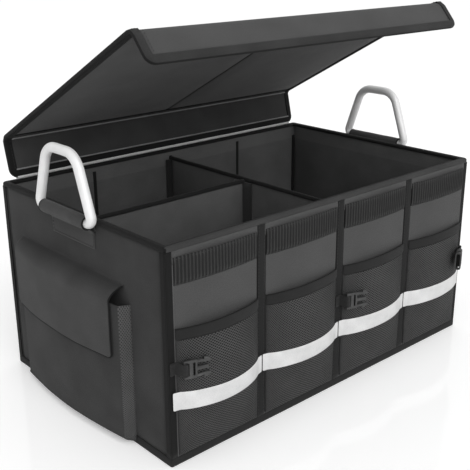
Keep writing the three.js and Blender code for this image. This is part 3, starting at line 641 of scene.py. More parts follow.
def fill_pads():
    swollen = swell_by_cloth()
    for number, pad in enumerate(pads):
        piece = pad["piece"]
        back_cap, front_cap = pad["caps"]
        thick = pad["thick"]
        rest = [vert.co / MM for vert in piece.data.vertices]
        moved = []
        for i, point in enumerate(rest):
            front = point.z > thick / 2
            cap = front_cap if front else back_cap
            shift = swollen[number][i].z - point.z
            out = min(cap, max(0.0, shift if front else -shift))
            out += ripple((point.x, point.y, 40 * number), 55, 0.25) if out > 0.2 else 0
            moved.append(Vector((point.x, point.y, point.z + (out if front else -out))))
        maker = bmesh.new()
        maker.from_mesh(piece.data)
        maker.verts.ensure_lookup_table()
        for vert, point in zip(maker.verts, moved):
            vert.co = point
        if pad["paint"]:
            for face in maker.faces:
                face.material_index = pad["paint"](face.calc_center_median(), thick)
        for vert in maker.verts:
            vert.co = Vector(pad["place"](*vert.co)) * MM
        bmesh.ops.recalc_face_normals(maker, faces=maker.faces)
        maker.to_mesh(piece.data)
        maker.free()
        piece.data.shade_smooth()
        subdivide(piece)
        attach(piece, pad["body"])
        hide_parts(*pad["stands_for"])


# Sewing: short raised stitches along lines, gathered by body

seam_lines = {BOX: [], "lid": []}


def sew(line, normal, body=BOX):
    """Adds one line of stitching: points in millimetres, and the direction that the cloth faces."""
    seam_lines[body].append(([Vector(p) for p in line], normal))


def along_line(points, pitch):
    """Places every `pitch` along a line: point and direction."""
    placed = []
    left = pitch / 2
    for a, b in zip(points, points[1:]):
        run = (b - a).length
        if run < 1e-6:
            continue
        direction = (b - a) / run
        at = left
        while at < run:
            placed.append((a + direction * at, direction))
            at += pitch
        left = at - run
    return placed


def stitch_pieces(thread):
    for body, lines in seam_lines.items():
        whole = bmesh.new()
        for points, normal in lines:
            row = bmesh.new()
            for point, direction in along_line(points, STITCH_PITCH):
                facing = Vector(normal).normalized()
                side = facing.cross(direction).normalized()
                frame_matrix = Matrix((direction, side, facing)).transposed().to_4x4()
                frame_matrix.translation = point + facing * 0.1
                made = bmesh.ops.create_icosphere(row, subdivisions=1, radius=1.0)
                shape = frame_matrix @ Matrix.Diagonal((*STITCH_SIZE, 1))
                bmesh.ops.transform(row, matrix=shape, verts=made["verts"])
            part = bpy.data.meshes.new("row")
            row.to_mesh(part)
            row.free()
            whole.from_mesh(part)
            bpy.data.meshes.remove(part)
        piece = finished(f"stitching_{body}", whole, body, [thread])
        piece["note"] = "sewing thread"


# Box

def add_box(outer, lining, hem, floor_cloth, board_cloth):
    def inside(centre, thick):
        if centre.z < thick / 2:
            return 0
        return 2 if centre.y > LINING_HEM_BOTTOM else 1

    wall_tall = WALL_TOP - WALL_BOTTOM
    side_run = 2 * (HALF_DEPTH - WALL - GAP)
    common = {"materials": [outer, lining, hem], "body": BOX, "slot": "outer_fabric",
              "paint": inside, "bottom": WALL_BOTTOM, "thick": WALL}
    bay_seams = (-BAY, 0.0, BAY)
    make_pad("front_wall_padding", 2 * HALF_WIDTH, wall_tall, stands_for=["front_wall"],
             place=lambda a, b, n: (a, -HALF_DEPTH + n, b), seams=bay_seams, caps=(0.2, 4.0), **common)
    make_pad("back_wall_padding", 2 * HALF_WIDTH, wall_tall, stands_for=["back_wall"],
             place=lambda a, b, n: (a, HALF_DEPTH - n, b), seams=bay_seams, caps=(1.6, 4.0), **common)
    make_pad("left_wall_padding", side_run, wall_tall, stands_for=["left_wall"],
             place=lambda a, b, n: (-HALF_WIDTH + n, a, b), seams=(), caps=(1.0, 4.0), **common)
    make_pad("right_wall_padding", side_run, wall_tall, stands_for=["right_wall"],
             place=lambda a, b, n: (HALF_WIDTH - n, a, b), seams=(), caps=(1.6, 4.0), **common)
    make_pad("floor_padding", 2 * HALF_WIDTH - 1, 2 * HALF_DEPTH - 1, 4.0, BOX, "outer_fabric",
             [floor_cloth], ["floor_panel"], lambda a, b, n: (a, b, n), bottom=-HALF_DEPTH + 0.5,
             cell=12, caps=(0.0, 0.2), inset=0.6)
    half = (HALF_WIDTH - WALL - 3 - GAP) / 2
    for name, side in (("left", -1), ("right", 1)):
        make_pad(f"base_board_{name}_cover", 2 * half, 2 * (HALF_DEPTH - WALL - 3), 3.0, BOX, "board",
                 [board_cloth], [f"base_board_{name}"],
                 lambda a, b, n, s=side: (s * (GAP + half) + a, b, WALL_BOTTOM + n),
                 bottom=-(HALF_DEPTH - WALL - 3), cell=12, caps=(0.0, 0.8), inset=0.8)


# Bindings

SIDES = [((1, 0), (0, -1)), ((0, 1), (1, 0)), ((-1, 0), (0, 1)), ((0, -1), (-1, 0))]
CORNERS = ["front_right", "back_right", "back_left", "front_left"]


def around_box(u, half_x, half_y, radius):
    """A point on a rounded rectangle, counterclockwise from the left end of the front."""
    quarter = min(3, int(u * 4))
    share = u * 4 - quarter
    (ex, ey), (nx, ny) = SIDES[quarter]
    half_along, half_out = (half_x, half_y) if quarter % 2 == 0 else (half_y, half_x)
    if share < 0.9:
        along = (2 * share / 0.9 - 1) * (half_along - radius)
        return nx * half_out + ex * along, ny * half_out + ey * along
    angle = (share - 0.9) / 0.1 * math.pi / 2
    out = half_out - radius + radius * math.cos(angle)
    along = half_along - radius + radius * math.sin(angle)
    return nx * out + ex * along, ny * out + ey * along


def through(points, v):
    """A point at share v of a polyline's length."""
    lengths = [math.dist(a, b) for a, b in zip(points, points[1:])]
    goal = v * sum(lengths)
    for a, b, run in zip(points, points[1:], lengths):
        if goal <= run or b is points[-1]:
            share = min(1.0, goal / run)
            return tuple(p + (q - p) * share for p, q in zip(a, b))
        goal -= run
    return points[-1]


def add_bindings(tape, seam_cloth, base_cloth, lip_cloth):
    middle = WALL / 2
    out = middle + GAP
    top = HEIGHT - TAPE
    outside = [(out, top - 1.4), (out - 0.5, top - 0.4), (out - 1.6, top)]
    inside = [(-d, z) for d, z in reversed(outside)]
    rim_profile = [(out, HEIGHT - RIM_LIP_OUTSIDE), *outside, *inside, (-out, HEIGHT - RIM_LIP_INSIDE)]

    def rim(u, v):
        d, z = through(rim_profile, v)
        half_x = HALF_WIDTH - middle + d
        half_y = HALF_DEPTH - middle + d
        x, y = around_box(u, half_x, half_y, max(0.6, 2.2 + d * 0.4))
        wave = ripple((x, y, 0), 38, 0.35)
        return x, y, z + (wave if d * d > 12 else 0)

    ring = sewn_sheet("rim_binding", rim, 160, 14, TAPE, BOX, [tape, lip_cloth],
                      [f"rim_binding_{side}" for side in ("front", "back", "left", "right")],
                      join_ends=True,
                      flat_uv=(1.96, 0.022))
    ring["note"] = "one tape, folded over the rim"
    for face in ring.data.polygons:
        if face.center.y < (-HALF_DEPTH + 2.5) * MM and abs(face.center.x) < (HALF_WIDTH - 2) * MM:
            face.material_index = 1

    def bottom(u, v):
        x, y = around_box(u, HALF_WIDTH + GAP, HALF_DEPTH + GAP, 1.6)
        crown = 0.25 * math.sin(math.pi * v)
        z = BASE_TAPE_BOTTOM + v * BASE_TAPE_WIDTH
        scale = 1 + crown / HALF_WIDTH
        return x * scale, y * scale, z + ripple((x, y, 9), 60, 0.25)

    sewn_sheet("bottom_binding_tape", bottom, 160, 4, TAPE, BOX, base_cloth, ["bottom_binding"],
               join_ends=True, flat_uv=(1.96, 0.011))

    tape_bottom, tape_top = BOTTOM_TAPE_TOP, HEIGHT - RIM_LIP_OUTSIDE - GAP
    for number, name in enumerate(CORNERS):
        (ex, ey), (nx, ny) = SIDES[number]
        half_along, half_out = (HALF_WIDTH, HALF_DEPTH) if number % 2 == 0 else (HALF_DEPTH, HALF_WIDTH)
        corner = (nx * half_out + ex * half_along, ny * half_out + ey * half_along)
        bend = [(math.sin(math.radians(a)), math.cos(math.radians(a))) for a in range(0, 91, 15)]
        profile = [(-CORNER_TAPE, GAP)]
        profile += [(-1.2 + GAP + 1.2 * s, -1.2 + GAP + 1.2 * c) for s, c in bend]
        profile += [(GAP, -CORNER_TAPE)]

        def corner_tape(u, v, line=profile, c=corner, e=(ex, ey), n=(nx, ny)):
            along, out = through(line, u)
            z = tape_bottom + v * (tape_top - tape_bottom)
            return c[0] + e[0] * along + n[0] * out, c[1] + e[1] * along + n[1] * out, z

        sewn_sheet(f"corner_tape_{name}", corner_tape, 16, 30, TAPE, BOX, tape,
                   [f"corner_binding_{name}"])
    for seam in range(1, BAYS):
        middle_x = -HALF_WIDTH + seam * BAY

        def seam_tape(u, v, x0=middle_x):
            x = x0 + (u - 0.5) * SEAM_TAPE
            z = tape_bottom + v * (tape_top - tape_bottom)
            crown = 0.5 * math.cos(math.pi * (u - 0.5))
            return x + ripple((x0, 0, z), 50, 0.3), -HALF_DEPTH - GAP - crown, z

        sewn_sheet(f"seam_cover_{seam}", seam_tape, 8, 40, SEAM_TAPE_THICKNESS, BOX,
                   seam_cloth, [f"seam_tape_{seam}"])
        for side in (-1, 1):
            x = middle_x + side * (SEAM_TAPE / 2 - 1.8)
            sew([(x, -HALF_DEPTH - 2.1, tape_bottom + 4), (x, -HALF_DEPTH - 2.1, tape_top - 2)], (0, -1, 0))


def add_inner_seams(tape):
    inner_x, inner_y = HALF_WIDTH - WALL - 1.2, HALF_DEPTH - WALL - 1.2
    for number, name in enumerate(CORNERS):
        (ex, ey), (nx, ny) = SIDES[number]
        corner = Vector((nx + ex, ny + ey, 0))
        x, y = corner.x * inner_x, corner.y * inner_y
        line = [Vector((x, y, INNER_SEAM_BOTTOM + 26 * i)) for i in range(11)]
        add_cord(f"inner_corner_{name}", line, 2.6, BOX, tape)
    for side in (-1, 1):
        for seam in range(1, BAYS):
            if side < 0 and seam == 2:
                continue

            def inner_seam(u, v, s=side, x0=-HALF_WIDTH + seam * BAY):
                z = INNER_SEAM_BOTTOM + v * INNER_SEAM_RUN
                return x0 - s * (u - 0.5) * INNER_SEAM_WIDTH, s * (HALF_DEPTH - WALL - 0.4), z

            place = "back" if side > 0 else "front"
            sewn_sheet(f"inner_seam_{place}_{seam}", inner_seam, 4, 30, 1.0, BOX, tape)


def add_front_border(cloth, piping):
    def border(u, v):
        x = (2 * u - 1) * (HALF_WIDTH - CORNER_TAPE)
        z = BORDER_BOTTOM + v * BORDER_WIDTH
        return x, -HALF_DEPTH - 0.5 - 0.3 * math.sin(math.pi * v) + ripple((x, 0, z), 40, 0.2), z

    sewn_sheet("front_border", border, 90, 4, 0.8, BOX, cloth)
    edge_x = HALF_WIDTH - CORNER_TAPE - 0.9
    lines = {
        "front_piping_left": [(-edge_x, 12.5), (-edge_x, BORDER_BOTTOM)],
        "front_piping_right": [(edge_x, 12.5), (edge_x, BORDER_BOTTOM)],
        "front_piping_bottom": [(-edge_x, 13.2), (edge_x, 13.2)],
    }
    for name, (start, end) in lines.items():
        level = start[1] == end[1]

        def cord_skin(u, v, a=start, b=end, flat=level):
            angle = math.pi * (u - 0.5) * 1.1
            x = a[0] + (b[0] - a[0]) * v
            z = a[1] + (b[1] - a[1]) * v
            bulge = 0.9 * math.cos(angle)
            if flat:
                z -= 0.8 * math.sin(angle)
            else:
                x += 0.8 * math.sin(angle)
            return x, -HALF_DEPTH - 0.5 - bulge, z

        sewn_sheet(name, cord_skin, 6, 40, 0.4, BOX, piping)


# Front pockets

def bay_edges(bay):
    def edge(seam):
        x = -HALF_WIDTH + seam * BAY
        if seam == 0:
            return x + CORNER_TAPE
        if seam == BAYS:
            return x - CORNER_TAPE
        return x - SEAM_TAPE / 2 if seam > bay else x + SEAM_TAPE / 2
    room = GAP + POCKET_THICKNESS
    return edge(bay) + room, edge(bay + 1) - room


def fullness(u):
    """How far a pouch stands out at share u between its seams."""
    return max(0.0, math.sin(math.pi * u)) ** POUCH_ROUNDNESS


def pocket_depth(z, bay):
    """The same in each bay, but asked for as net_depth is."""
    share = max(0.0, (z - POCKET_BOTTOM) / (POCKET_TOP - POCKET_BOTTOM))
    return POCKET_MOUTH_DEPTH * share ** POUCH_RISE + POCKET_BELLY_DEPTH * math.sin(math.pi * min(1, share))


def net_depth(z, bay):
    share = max(0.0, (z - POCKET_BOTTOM) / (NET_TOP - POCKET_BOTTOM))
    belly = NET_BELLY_DEPTH * math.sin(math.pi * min(1, share))
    return NET_FILL[bay] * (NET_MOUTH_DEPTH * share ** POUCH_RISE + belly)


def pouch_layer(bay, low, high, depth_at, lift):
    """One layer of a bay's pouch, with its columns crowded near the seams."""
    left, right = bay_edges(bay)
    wave = 0.5

    def surface(u, v):
        across = (1 - math.cos(math.pi * u)) / 2
        z = low + v * (high - low)
        x = left + across * (right - left)
        out = GAP + lift + depth_at(z, bay) * fullness(across)
        out += (ripple((x, 0, z * 0.7), 32, wave) - wave) * fullness(across)
        return x, -HALF_DEPTH - out, z
    return surface


def raised(surface, distance):
    """The surface that lies `distance` in front of another."""
    def lifted(u, v):
        step = 0.004
        across = Vector(surface(min(1, u + step), v)) - Vector(surface(max(0, u - step), v))
        up = Vector(surface(u, min(1, v + step))) - Vector(surface(u, max(0, v - step)))
        return tuple(Vector(surface(u, v)) + across.cross(up).normalized() * distance)
    return lifted


def reflector_layer(bay):
    """Over the net, and on over the seams where it is stitched."""
    start = -HALF_WIDTH + bay * BAY + (1.7 if bay == 0 else 0.8)
    end = -HALF_WIDTH + (bay + 1) * BAY - (6.0 if bay == BAYS - 1 else 0.8)
    net_surface = pouch_layer(bay, REFLECTOR_BOTTOM, REFLECTOR_TOP, net_depth, NET_LIFT)
    over_net = raised(net_surface, REFLECTOR_LIFT)
    margin = 0.08

    def surface(u, v):
        from_end = min(u, 1 - u)
        if from_end >= margin:
            return over_net(u, v)
        edge = Vector(over_net(margin if u < 0.5 else 1 - margin, v))
        seam = Vector((start if u < 0.5 else end, -HALF_DEPTH - GAP - NET_LIFT - REFLECTOR_LIFT, edge.z))
        return tuple(seam.lerp(edge, from_end / margin))
    return surface


def add_front_pockets(pocket, elastic, net, hem, edge_tape, tape):
    for bay in range(BAYS):
        number = bay + 1
        pocket_surface = pouch_layer(bay, POCKET_BOTTOM, ELASTIC_BOTTOM - GAP, pocket_depth, 0)
        sewn_sheet(f"pocket_pouch_{number}", pocket_surface, 36, 40, POCKET_THICKNESS, BOX,
                   pocket, [f"front_pocket_{number}"],
                   smooth=1)
        left, right = bay_edges(bay)
        ribs = round((right - left) / RIB_PITCH)

        def gathered(u, v, low_x=left, high_x=right, count=ribs, which=bay):
            x = low_x + u * (high_x - low_x)
            z = ELASTIC_BOTTOM + v * (POCKET_TOP - ELASTIC_BOTTOM)
            rib = 0.5 + 0.5 * math.cos(2 * math.pi * count * u)
            depth = pocket_depth(z, which) * fullness(u)
            out = GAP + depth + RIB_HEIGHT * rib * math.sin(math.pi * min(1, 4 * min(v, 1 - v)) / 2)
            return x, -HALF_DEPTH - out, z

        sewn_sheet(f"elastic_mouth_{number}", gathered, ribs * 6, 10, POCKET_THICKNESS, BOX,
                   elastic, [f"elastic_band_{number}"],
                   flat_uv=(ribs, 1))
        hem_bottom = NET_TOP - NET_HEM
        net_surface = pouch_layer(bay, POCKET_BOTTOM, hem_bottom - GAP, net_depth, NET_LIFT)
        sewn_sheet(f"net_pouch_{number}", net_surface, 36, 36, NET_THICKNESS, BOX, net,
                   [f"mesh_pocket_{number}"], smooth=1)
        hem_surface = pouch_layer(bay, hem_bottom, NET_TOP, net_depth, NET_LIFT)
        sewn_sheet(f"net_hem_{number}", hem_surface, 36, 5, NET_HEM_THICKNESS, BOX, hem,
                   [f"mesh_hem_{number}"], smooth=1)
        sewn_sheet(f"reflector_{number}", reflector_layer(bay), 50, 6, REFLECTOR_THICKNESS, BOX,
                   tape, [f"reflective_tape_{number}"],
                   smooth=1)
        layer = raised(pouch_layer(bay, NET_TOP, NET_TOP + 1, net_depth, NET_LIFT), 1.6)
        mouth = [Vector(layer(0.01 + 0.98 * i / 40, 0)) for i in range(41)]
        add_cord(f"net_mouth_piping_{number}", mouth, 0.9, BOX, edge_tape)
        for z in (ELASTIC_BOTTOM + 1.5, POCKET_TOP - 2):
            layer = pouch_layer(bay, z, z + 1, pocket_depth, POCKET_THICKNESS + 0.8)
            sew([layer(0.06 + 0.88 * i / 40, 0) for i in range(41)], (0, -1, 0))


# Buckles and webbing

def add_webbing(webbing):
    over_corner = -HALF_DEPTH - GAP - TAPE - GAP
    over_seam = -HALF_DEPTH - GAP - SEAM_TAPE_THICKNESS - GAP
    tabs = [
        ("webbing_tab_left", (-286.0, -204.0), 1, -HALF_WIDTH + GAP, over_corner),
        ("webbing_tab_middle", (7.7, -203.0), 1, -SEAM_TAPE / 2, over_seam),
        ("webbing_tab_right", (282.7, -203.0), -1, HALF_WIDTH - GAP, over_corner),
    ]
    for name, (bar_x, bar_y), side, sewn_x, sewn_y in tabs:
        bar = Vector((bar_x, bar_y, 0))
        start = Vector((sewn_x, sewn_y - 1.2, 0))
        bend = start + Vector((side * 8, 0, 0))
        direction = (bar - bend).normalized()
        across = Vector((0, 0, 1)).cross(direction) * side
        layer = 0.62
        path = [start + Vector((0, layer, 0)), bend + across * layer]
        for i in range(13):
            angle = math.pi * i / 12
            turned = bar + across * WEBBING_LOOP * math.cos(angle)
            path.append(turned + direction * WEBBING_LOOP * math.sin(angle))
        path += [bend - across * layer, start - Vector((0, layer, 0))]
        points = [tuple(p) for p in path]

        def strap(u, v, line=points):
            x, y, _ = through(line, u)
            return x, y, BUCKLE_HEIGHT + (v - 0.5) * WEBBING

        sewn_sheet(f"{name}_loop", strap, 60, 8, 1.1, BOX, webbing, [name],
                   offset=0.0)


def rounded_copy(node, name, body, material):
    """A moulded part with its edges broken, made from the node's own solid."""
    copy = bmesh.new()
    copy.from_mesh(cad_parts[node].data)
    copy.transform(Matrix.Scale(1 / MM, 4))
    bmesh.ops.remove_doubles(copy, verts=copy.verts, dist=0.004)
    bmesh.ops.dissolve_limit(copy, angle_limit=math.radians(2), verts=copy.verts, edges=copy.edges)
    sharp = [e for e in copy.edges if e.is_manifold and e.calc_face_angle() > math.radians(35)]
    bmesh.ops.bevel(copy, geom=sharp, offset=BUCKLE_EDGE, offset_type="OFFSET", segments=2, profile=0.5,
                    affect="EDGES", clamp_overlap=True, material=-1)
    return finished(name, copy, body, [material], [node], sharp=math.radians(50))


# Side pocket

def side_out(u, z):
    edge = min(1.0, min(u, 1 - u) / SIDE_STEEPNESS)
    share = (z - SIDE_BOTTOM) / (SIDE_TOP - SIDE_BOTTOM)
    rise = min(1.0, max(0.0, z - SIDE_BOTTOM) / 8)
    belly = math.sin(math.pi * u) * (0.88 + 0.12 * math.sin(math.pi * share))
    return math.sqrt(rise) * (SIDE_GUSSET * edge + SIDE_BELLY * belly)


def add_side_pocket(outer, gusset, edge_tape):
    length = SIDE_BACK - SIDE_FRONT
    tall = SIDE_TOP - SIDE_BOTTOM
    corner = 0.0625

    def share_at(u):
        """Five columns for each gusset, the rest for the panel between their corners."""
        if u < corner:
            return SIDE_STEEPNESS * u / corner
        if u > 1 - corner:
            return 1 - SIDE_STEEPNESS * (1 - u) / corner
        return SIDE_STEEPNESS + (u - corner) / (1 - 2 * corner) * (1 - 2 * SIDE_STEEPNESS)

    def pouch(u, v):
        share = share_at(u)
        z = SIDE_BOTTOM + v ** 1.7 * tall
        inside = TAPE + 2 * GAP if z < BOTTOM_TAPE_TOP + 1 else GAP
        y = SIDE_FRONT + (1 - share) * length
        wave = ripple((0, y, z), 45, 0.8) * math.sin(math.pi * share) * min(1.0, v * 4)
        return -HALF_WIDTH - inside - side_out(share, z) - wave, y, z

    piece = sewn_sheet("side_pouch", pouch, 80, 48, 1.6, BOX, [outer, gusset],
                       ["side_pocket"])
    for face in piece.data.polygons:
        if abs(face.normal.y) > 0.75:
            face.material_index = 1

    for end, corner_u in (("front", 1 - corner), ("back", corner)):
        for place, u in (("corner", corner_u), ("wall", 1 - 0.012 if end == "front" else 0.012)):
            line = [Vector(pouch(u, i / 40)) for i in range(1, 41)]
            add_cord(f"gusset_piping_{end}_{place}", line, 0.9, BOX, edge_tape)


def add_flap(cloth, edge_tape):
    length = SIDE_BACK - SIDE_FRONT
    sewn, shoulder = 0.07, 0.34
    hang = FLAP_SEAM - FLAP_SEWN - FLAP_SHOULDER - FLAP_EDGE

    def flap(u, v):
        """From its seam in the padding, over the shoulder and down: wider where it leaves the wall."""
        near = max(0.0, 1 - v / shoulder)
        start, end = FLAP_FRONT - 9 * near, FLAP_BACK + 2 * near
        y = start + u * (end - start)
        inside = min(1.0, max(0.0, (y - SIDE_FRONT) / length))
        reach = SIDE_GUSSET + SIDE_BELLY * math.sin(math.pi * inside) + 2.8
        from_end = max(0.0, min(y - start, end - y))
        turn_in = 4.0
        lift = turn_in - math.sqrt(turn_in ** 2 - (turn_in - from_end) ** 2) if from_end < turn_in else 0.0
        x = -2.6 + 2.6 * min(1.0, v / sewn)
        z = FLAP_SEAM - v / sewn * FLAP_SEWN
        if v > sewn:
            share = min(1.0, (v - sewn) / (shoulder - sewn))
            turn = math.pi / 2 * share
            x = reach * math.sin(turn) ** 1.5
            z = FLAP_SEAM - FLAP_SEWN - FLAP_SHOULDER * (1 - math.cos(turn))
        if v > shoulder:
            share = (v - shoulder) / (1 - shoulder)
            z -= (hang - lift) * share
            x += ripple((0, y, z), 60, 1.0) * share
        return -HALF_WIDTH - GAP - x, y, z

    sewn_sheet("side_flap", lambda u, v: flap(1 - u, 1 - v), 70, 48, 2.0, BOX,
               cloth, ["side_pocket_flap"])
    down = [(1.0, 0.1 + 0.9 * i / 30) for i in range(31)]
    across = [(1 - i / 60, 1.0) for i in range(1, 61)]
    up = [(0.0, 1 - 0.9 * i / 30) for i in range(1, 31)]
    line = [Vector(flap(u, v)) - Vector((1.0, 0, 0)) for u, v in down + across + up]
    add_cord("flap_edge_tape", line, 1.25, BOX, edge_tape)


def add_cord(name, line, radius, body, material):
    """A narrow round edging along a line of points."""
    def skin(u, v):
        place = v * (len(line) - 1)
        i = min(len(line) - 2, int(place))
        point = line[i].lerp(line[i + 1], place - i)
        before, after = line[max(0, i - 1)], line[min(len(line) - 1, i + 2)]
        along = (after - before).normalized()
        side = along.orthogonal() if abs(along.x) > 0.9 else along.cross(Vector((1, 0, 0)))
        side = side.normalized()
        out = along.cross(side).normalized()
        angle = 2 * math.pi * u
        return tuple(point + (side * math.cos(angle) + out * math.sin(angle)) * (radius - 0.2))

    sewn_sheet(name, skin, 8, 2 * len(line), 0.2, body, material, join_ends=True)


# Handles

def handle_path(steps=10):
    """The closed centre line in the handle's plane, as (y, z, angle of the outward side)."""
    base_y = HANDLE_HALF - HANDLE_BASE_RADIUS
    top_z = HANDLE_RISE - HANDLE_TOP_RADIUS
    across, up = HANDLE_TOP_RUN - base_y, top_z - HANDLE_BASE_RADIUS
    turn = math.atan2(up, across) - math.pi / 2
    turn += math.asin((HANDLE_BASE_RADIUS - HANDLE_TOP_RADIUS) / math.hypot(across, up))
    half = []
    for centre_y, centre_z, radius, start, end in (
        (base_y, HANDLE_BASE_RADIUS, HANDLE_BASE_RADIUS, -math.pi / 2, turn),
        (HANDLE_TOP_RUN, top_z, HANDLE_TOP_RADIUS, turn, math.pi / 2),
    ):
        for i in range(steps + 1):
            angle = start + (end - start) * i / steps
            half.append((centre_y + radius * math.cos(angle), centre_z + radius * math.sin(angle), angle))
    other = [(-y, z, math.pi - angle) for y, z, angle in reversed(half)]
    return half + other


def add_handles(metal, outer, lip):
    for side, name in ((-1, "left"), (1, "right")):
        tube = bmesh.new()
        origin = Vector((side * (HALF_WIDTH + HANDLE_OUT), HANDLE_CENTRE, HANDLE_HEIGHT))
        frames = []
        for y, z, angle in handle_path():
            outward = Vector((0, math.cos(angle), math.sin(angle)))
            across = Vector((1, 0, 0))
            along = outward.cross(across)
            place = Matrix((across, outward, along)).transposed().to_4x4()
            place.translation = origin + Vector((0, y, z))
            frames.append(place)
        bmesh.ops.create_circle(tube, segments=18, radius=TUBE_RADIUS, matrix=frames[0])
        first = loop = tube.edges[:]
        for before, after in zip(frames, frames[1:]):
            made = bmesh.ops.extrude_edge_only(tube, edges=loop)["geom"]
            loop = [e for e in made if isinstance(e, bmesh.types.BMEdge)]
            verts = [v for v in made if isinstance(v, bmesh.types.BMVert)]
            loop = [e for e in loop if all(v in verts for v in e.verts)]
            bmesh.ops.transform(tube, matrix=after @ before.inverted(), verts=verts)
        bmesh.ops.bridge_loops(tube, edges=first + loop)
        bmesh.ops.recalc_face_normals(tube, faces=tube.faces)
        piece = finished(f"handle_tube_{name}", tube, f"{name}_handle", [metal],
                         [f"handle_{name}"])
        subdivide(piece)
        add_sleeve(side, name, outer, lip)


def add_sleeve(side, name, outer, lip):
    inner = TUBE_RADIUS + 0.6
    profile = [(0.4, PATCH_BOTTOM), (0.7, PATCH_BOTTOM + 7), (0.8, PATCH_BOTTOM + 15), (1.0, PATCH_TOP - 5),
               (3.0, PATCH_TOP)]
    for angle in range(-105, 196, 12):
        turn = math.radians(angle)
        profile.append((HANDLE_OUT + inner * math.cos(turn), HANDLE_HEIGHT + inner * math.sin(turn)))
    profile += [(2.6, PATCH_TOP + 4), (1.0, PATCH_TOP - 1)]

    def sleeve(u, v):
        out, z = through(profile, v)
        roll = min(1.0, max(0.0, (z - PATCH_TOP + 7) / 8))
        along = (2 * u - 1) * (SLEEVE_HALF + 2 * roll)
        end = max(0.0, abs(2 * u - 1) - 0.86) / 0.14
        out += ripple((along, out, z), 14, 0.5) * roll
        z += 0.12 * roll * (1 - end) * math.sin(along / 6.5)
        return side * (HALF_WIDTH + GAP + out - 0.3), HANDLE_CENTRE + side * along, z

    sewn_sheet(f"sleeve_{name}", sleeve, 48, 60, 1.4, BOX, outer,
               [f"handle_sleeve_{name}"])
    for end in (-1, 1):
        ring = []
        for i in range(25):
            turn = 2 * math.pi * i / 24
            x = side * (HALF_WIDTH + HANDLE_OUT + (inner + 0.9) * math.cos(turn))
            z = HANDLE_HEIGHT + (inner + 0.9) * math.sin(turn)
            ring.append(Vector((x, HANDLE_CENTRE + end * SLEEVE_LIP, z)))
        place = "rear" if end > 0 else "front"
        add_cord(f"sleeve_lip_{name}_{place}", ring, 1.0, BOX, lip)
    face = side * (HALF_WIDTH + GAP + 2.1)
    low, high = PATCH_BOTTOM + 3, PATCH_TOP - 4
    for z in (low, high):
        sew([(face, HANDLE_CENTRE - PATCH_SEWN, z), (face, HANDLE_CENTRE + PATCH_SEWN, z)], (side, 0, 0))
    for y in (-PATCH_SEWN, PATCH_SEWN):
        sew([(face, HANDLE_CENTRE + y, low), (face, HANDLE_CENTRE + y, high)], (side, 0, 0))


# Dividers

def add_dividers(lining, tape, loops):
    run = 2 * DIVIDER_RUN - 3
    make_pad("long_divider_padding", run, LONG_TOP - 1.5 - DIVIDER_BOTTOM, 2 * DIVIDER_HALF, BOX, "lining",
             [lining], ["long_divider"], lambda a, b, n: (n - DIVIDER_HALF, a, b), bottom=DIVIDER_BOTTOM,
             caps=(1.5, 1.5), seams=(0.0,))
    start = -HALF_WIDTH + WALL + 1.6 + GAP
    end = -DIVIDER_HALF - 1.3
    middle = (start + end) / 2
    make_pad("cross_divider_padding", end - start - 3, CROSS_TOP - 1.5 - DIVIDER_BOTTOM, 2 * DIVIDER_HALF,
             BOX, "lining", [lining], ["cross_divider"],
             lambda a, b, n: (middle + a, n - DIVIDER_HALF, b), bottom=DIVIDER_BOTTOM, caps=(1.5, 1.5))
    for name, top, half_run, centre, turned in (
        ("long", LONG_TOP, DIVIDER_RUN, 0.0, False),
        ("cross", CROSS_TOP, (end - start) / 2, middle, True),
    ):
        half = DIVIDER_HALF + 0.2
        lip = top - DIVIDER_BINDING
        profile = [(half, lip), (half, top - 2.4), (half - 1.2, top - 0.9), (-half + 1.2, top - 0.9),
                   (-half, top - 2.4), (-half, lip)]

        def fold(u, v, line=profile, turn=turned, reach=half_run, mid=centre):
            across, z = through(line, v)
            along = (2 * u - 1) * reach
            z += ripple((along, 0, 0), 30, 0.4)
            return (mid + along, -across, z) if turn else (across, along, z)

        sewn_sheet(f"{name}_divider_binding", fold, 60, 12, 1.0, BOX, tape)
        for side, place, at in ((-1, "start", start), (1, "end", end)):

            def tab(u, v, turn=turned, x=at, s=side, tall=top - 4 - DIVIDER_BOTTOM):
                z = DIVIDER_BOTTOM + v * tall
                if turn:
                    return x - s * 0.1, s * (2 * u - 1) * CROSS_TAB_HALF, z
                return -s * (2 * u - 1) * LONG_TAB_HALF, s * (DIVIDER_RUN - 0.1), z

            sewn_sheet(f"{name}_divider_tab_{place}", tab, 8, 24, 1.4, BOX, loops,
                       offset=-1.0)


# Lid

def lid_section():
    """Centre line of the lid's section, as (y, z) from the hinge over both folds."""
    rear = (-LID_REAR * math.cos(LID_REAR_FOLD), LID_REAR * math.sin(LID_REAR_FOLD))
    front = (rear[0] - LID_PANEL, rear[1])
    end = (front[0] - LID_FRONT * math.cos(LID_FRONT_FOLD), front[1] - LID_FRONT * math.sin(LID_FRONT_FOLD))
    line = [(0.0, 0.0)]
    for before, corner, after in (((0, 0), rear, front), (rear, front, end)):
        back = (Vector(before) - Vector(corner)).normalized()
        ahead = (Vector(after) - Vector(corner)).normalized()
        half = back.angle(ahead) / 2
        centre = Vector(corner) + (back + ahead).normalized() * LID_BEND / math.sin(half)
        first = Vector(corner) + back * LID_BEND / math.tan(half) - centre
        last = Vector(corner) + ahead * LID_BEND / math.tan(half) - centre
        start = math.atan2(first.y, first.x)
        sweep = math.atan2(last.y, last.x) - start
        sweep = math.atan2(math.sin(sweep), math.cos(sweep))
        for i in range(9):
            angle = start + sweep * i / 8
            line.append((centre.x + LID_BEND * math.cos(angle), centre.y + LID_BEND * math.sin(angle)))
    line.append(end)
    return line


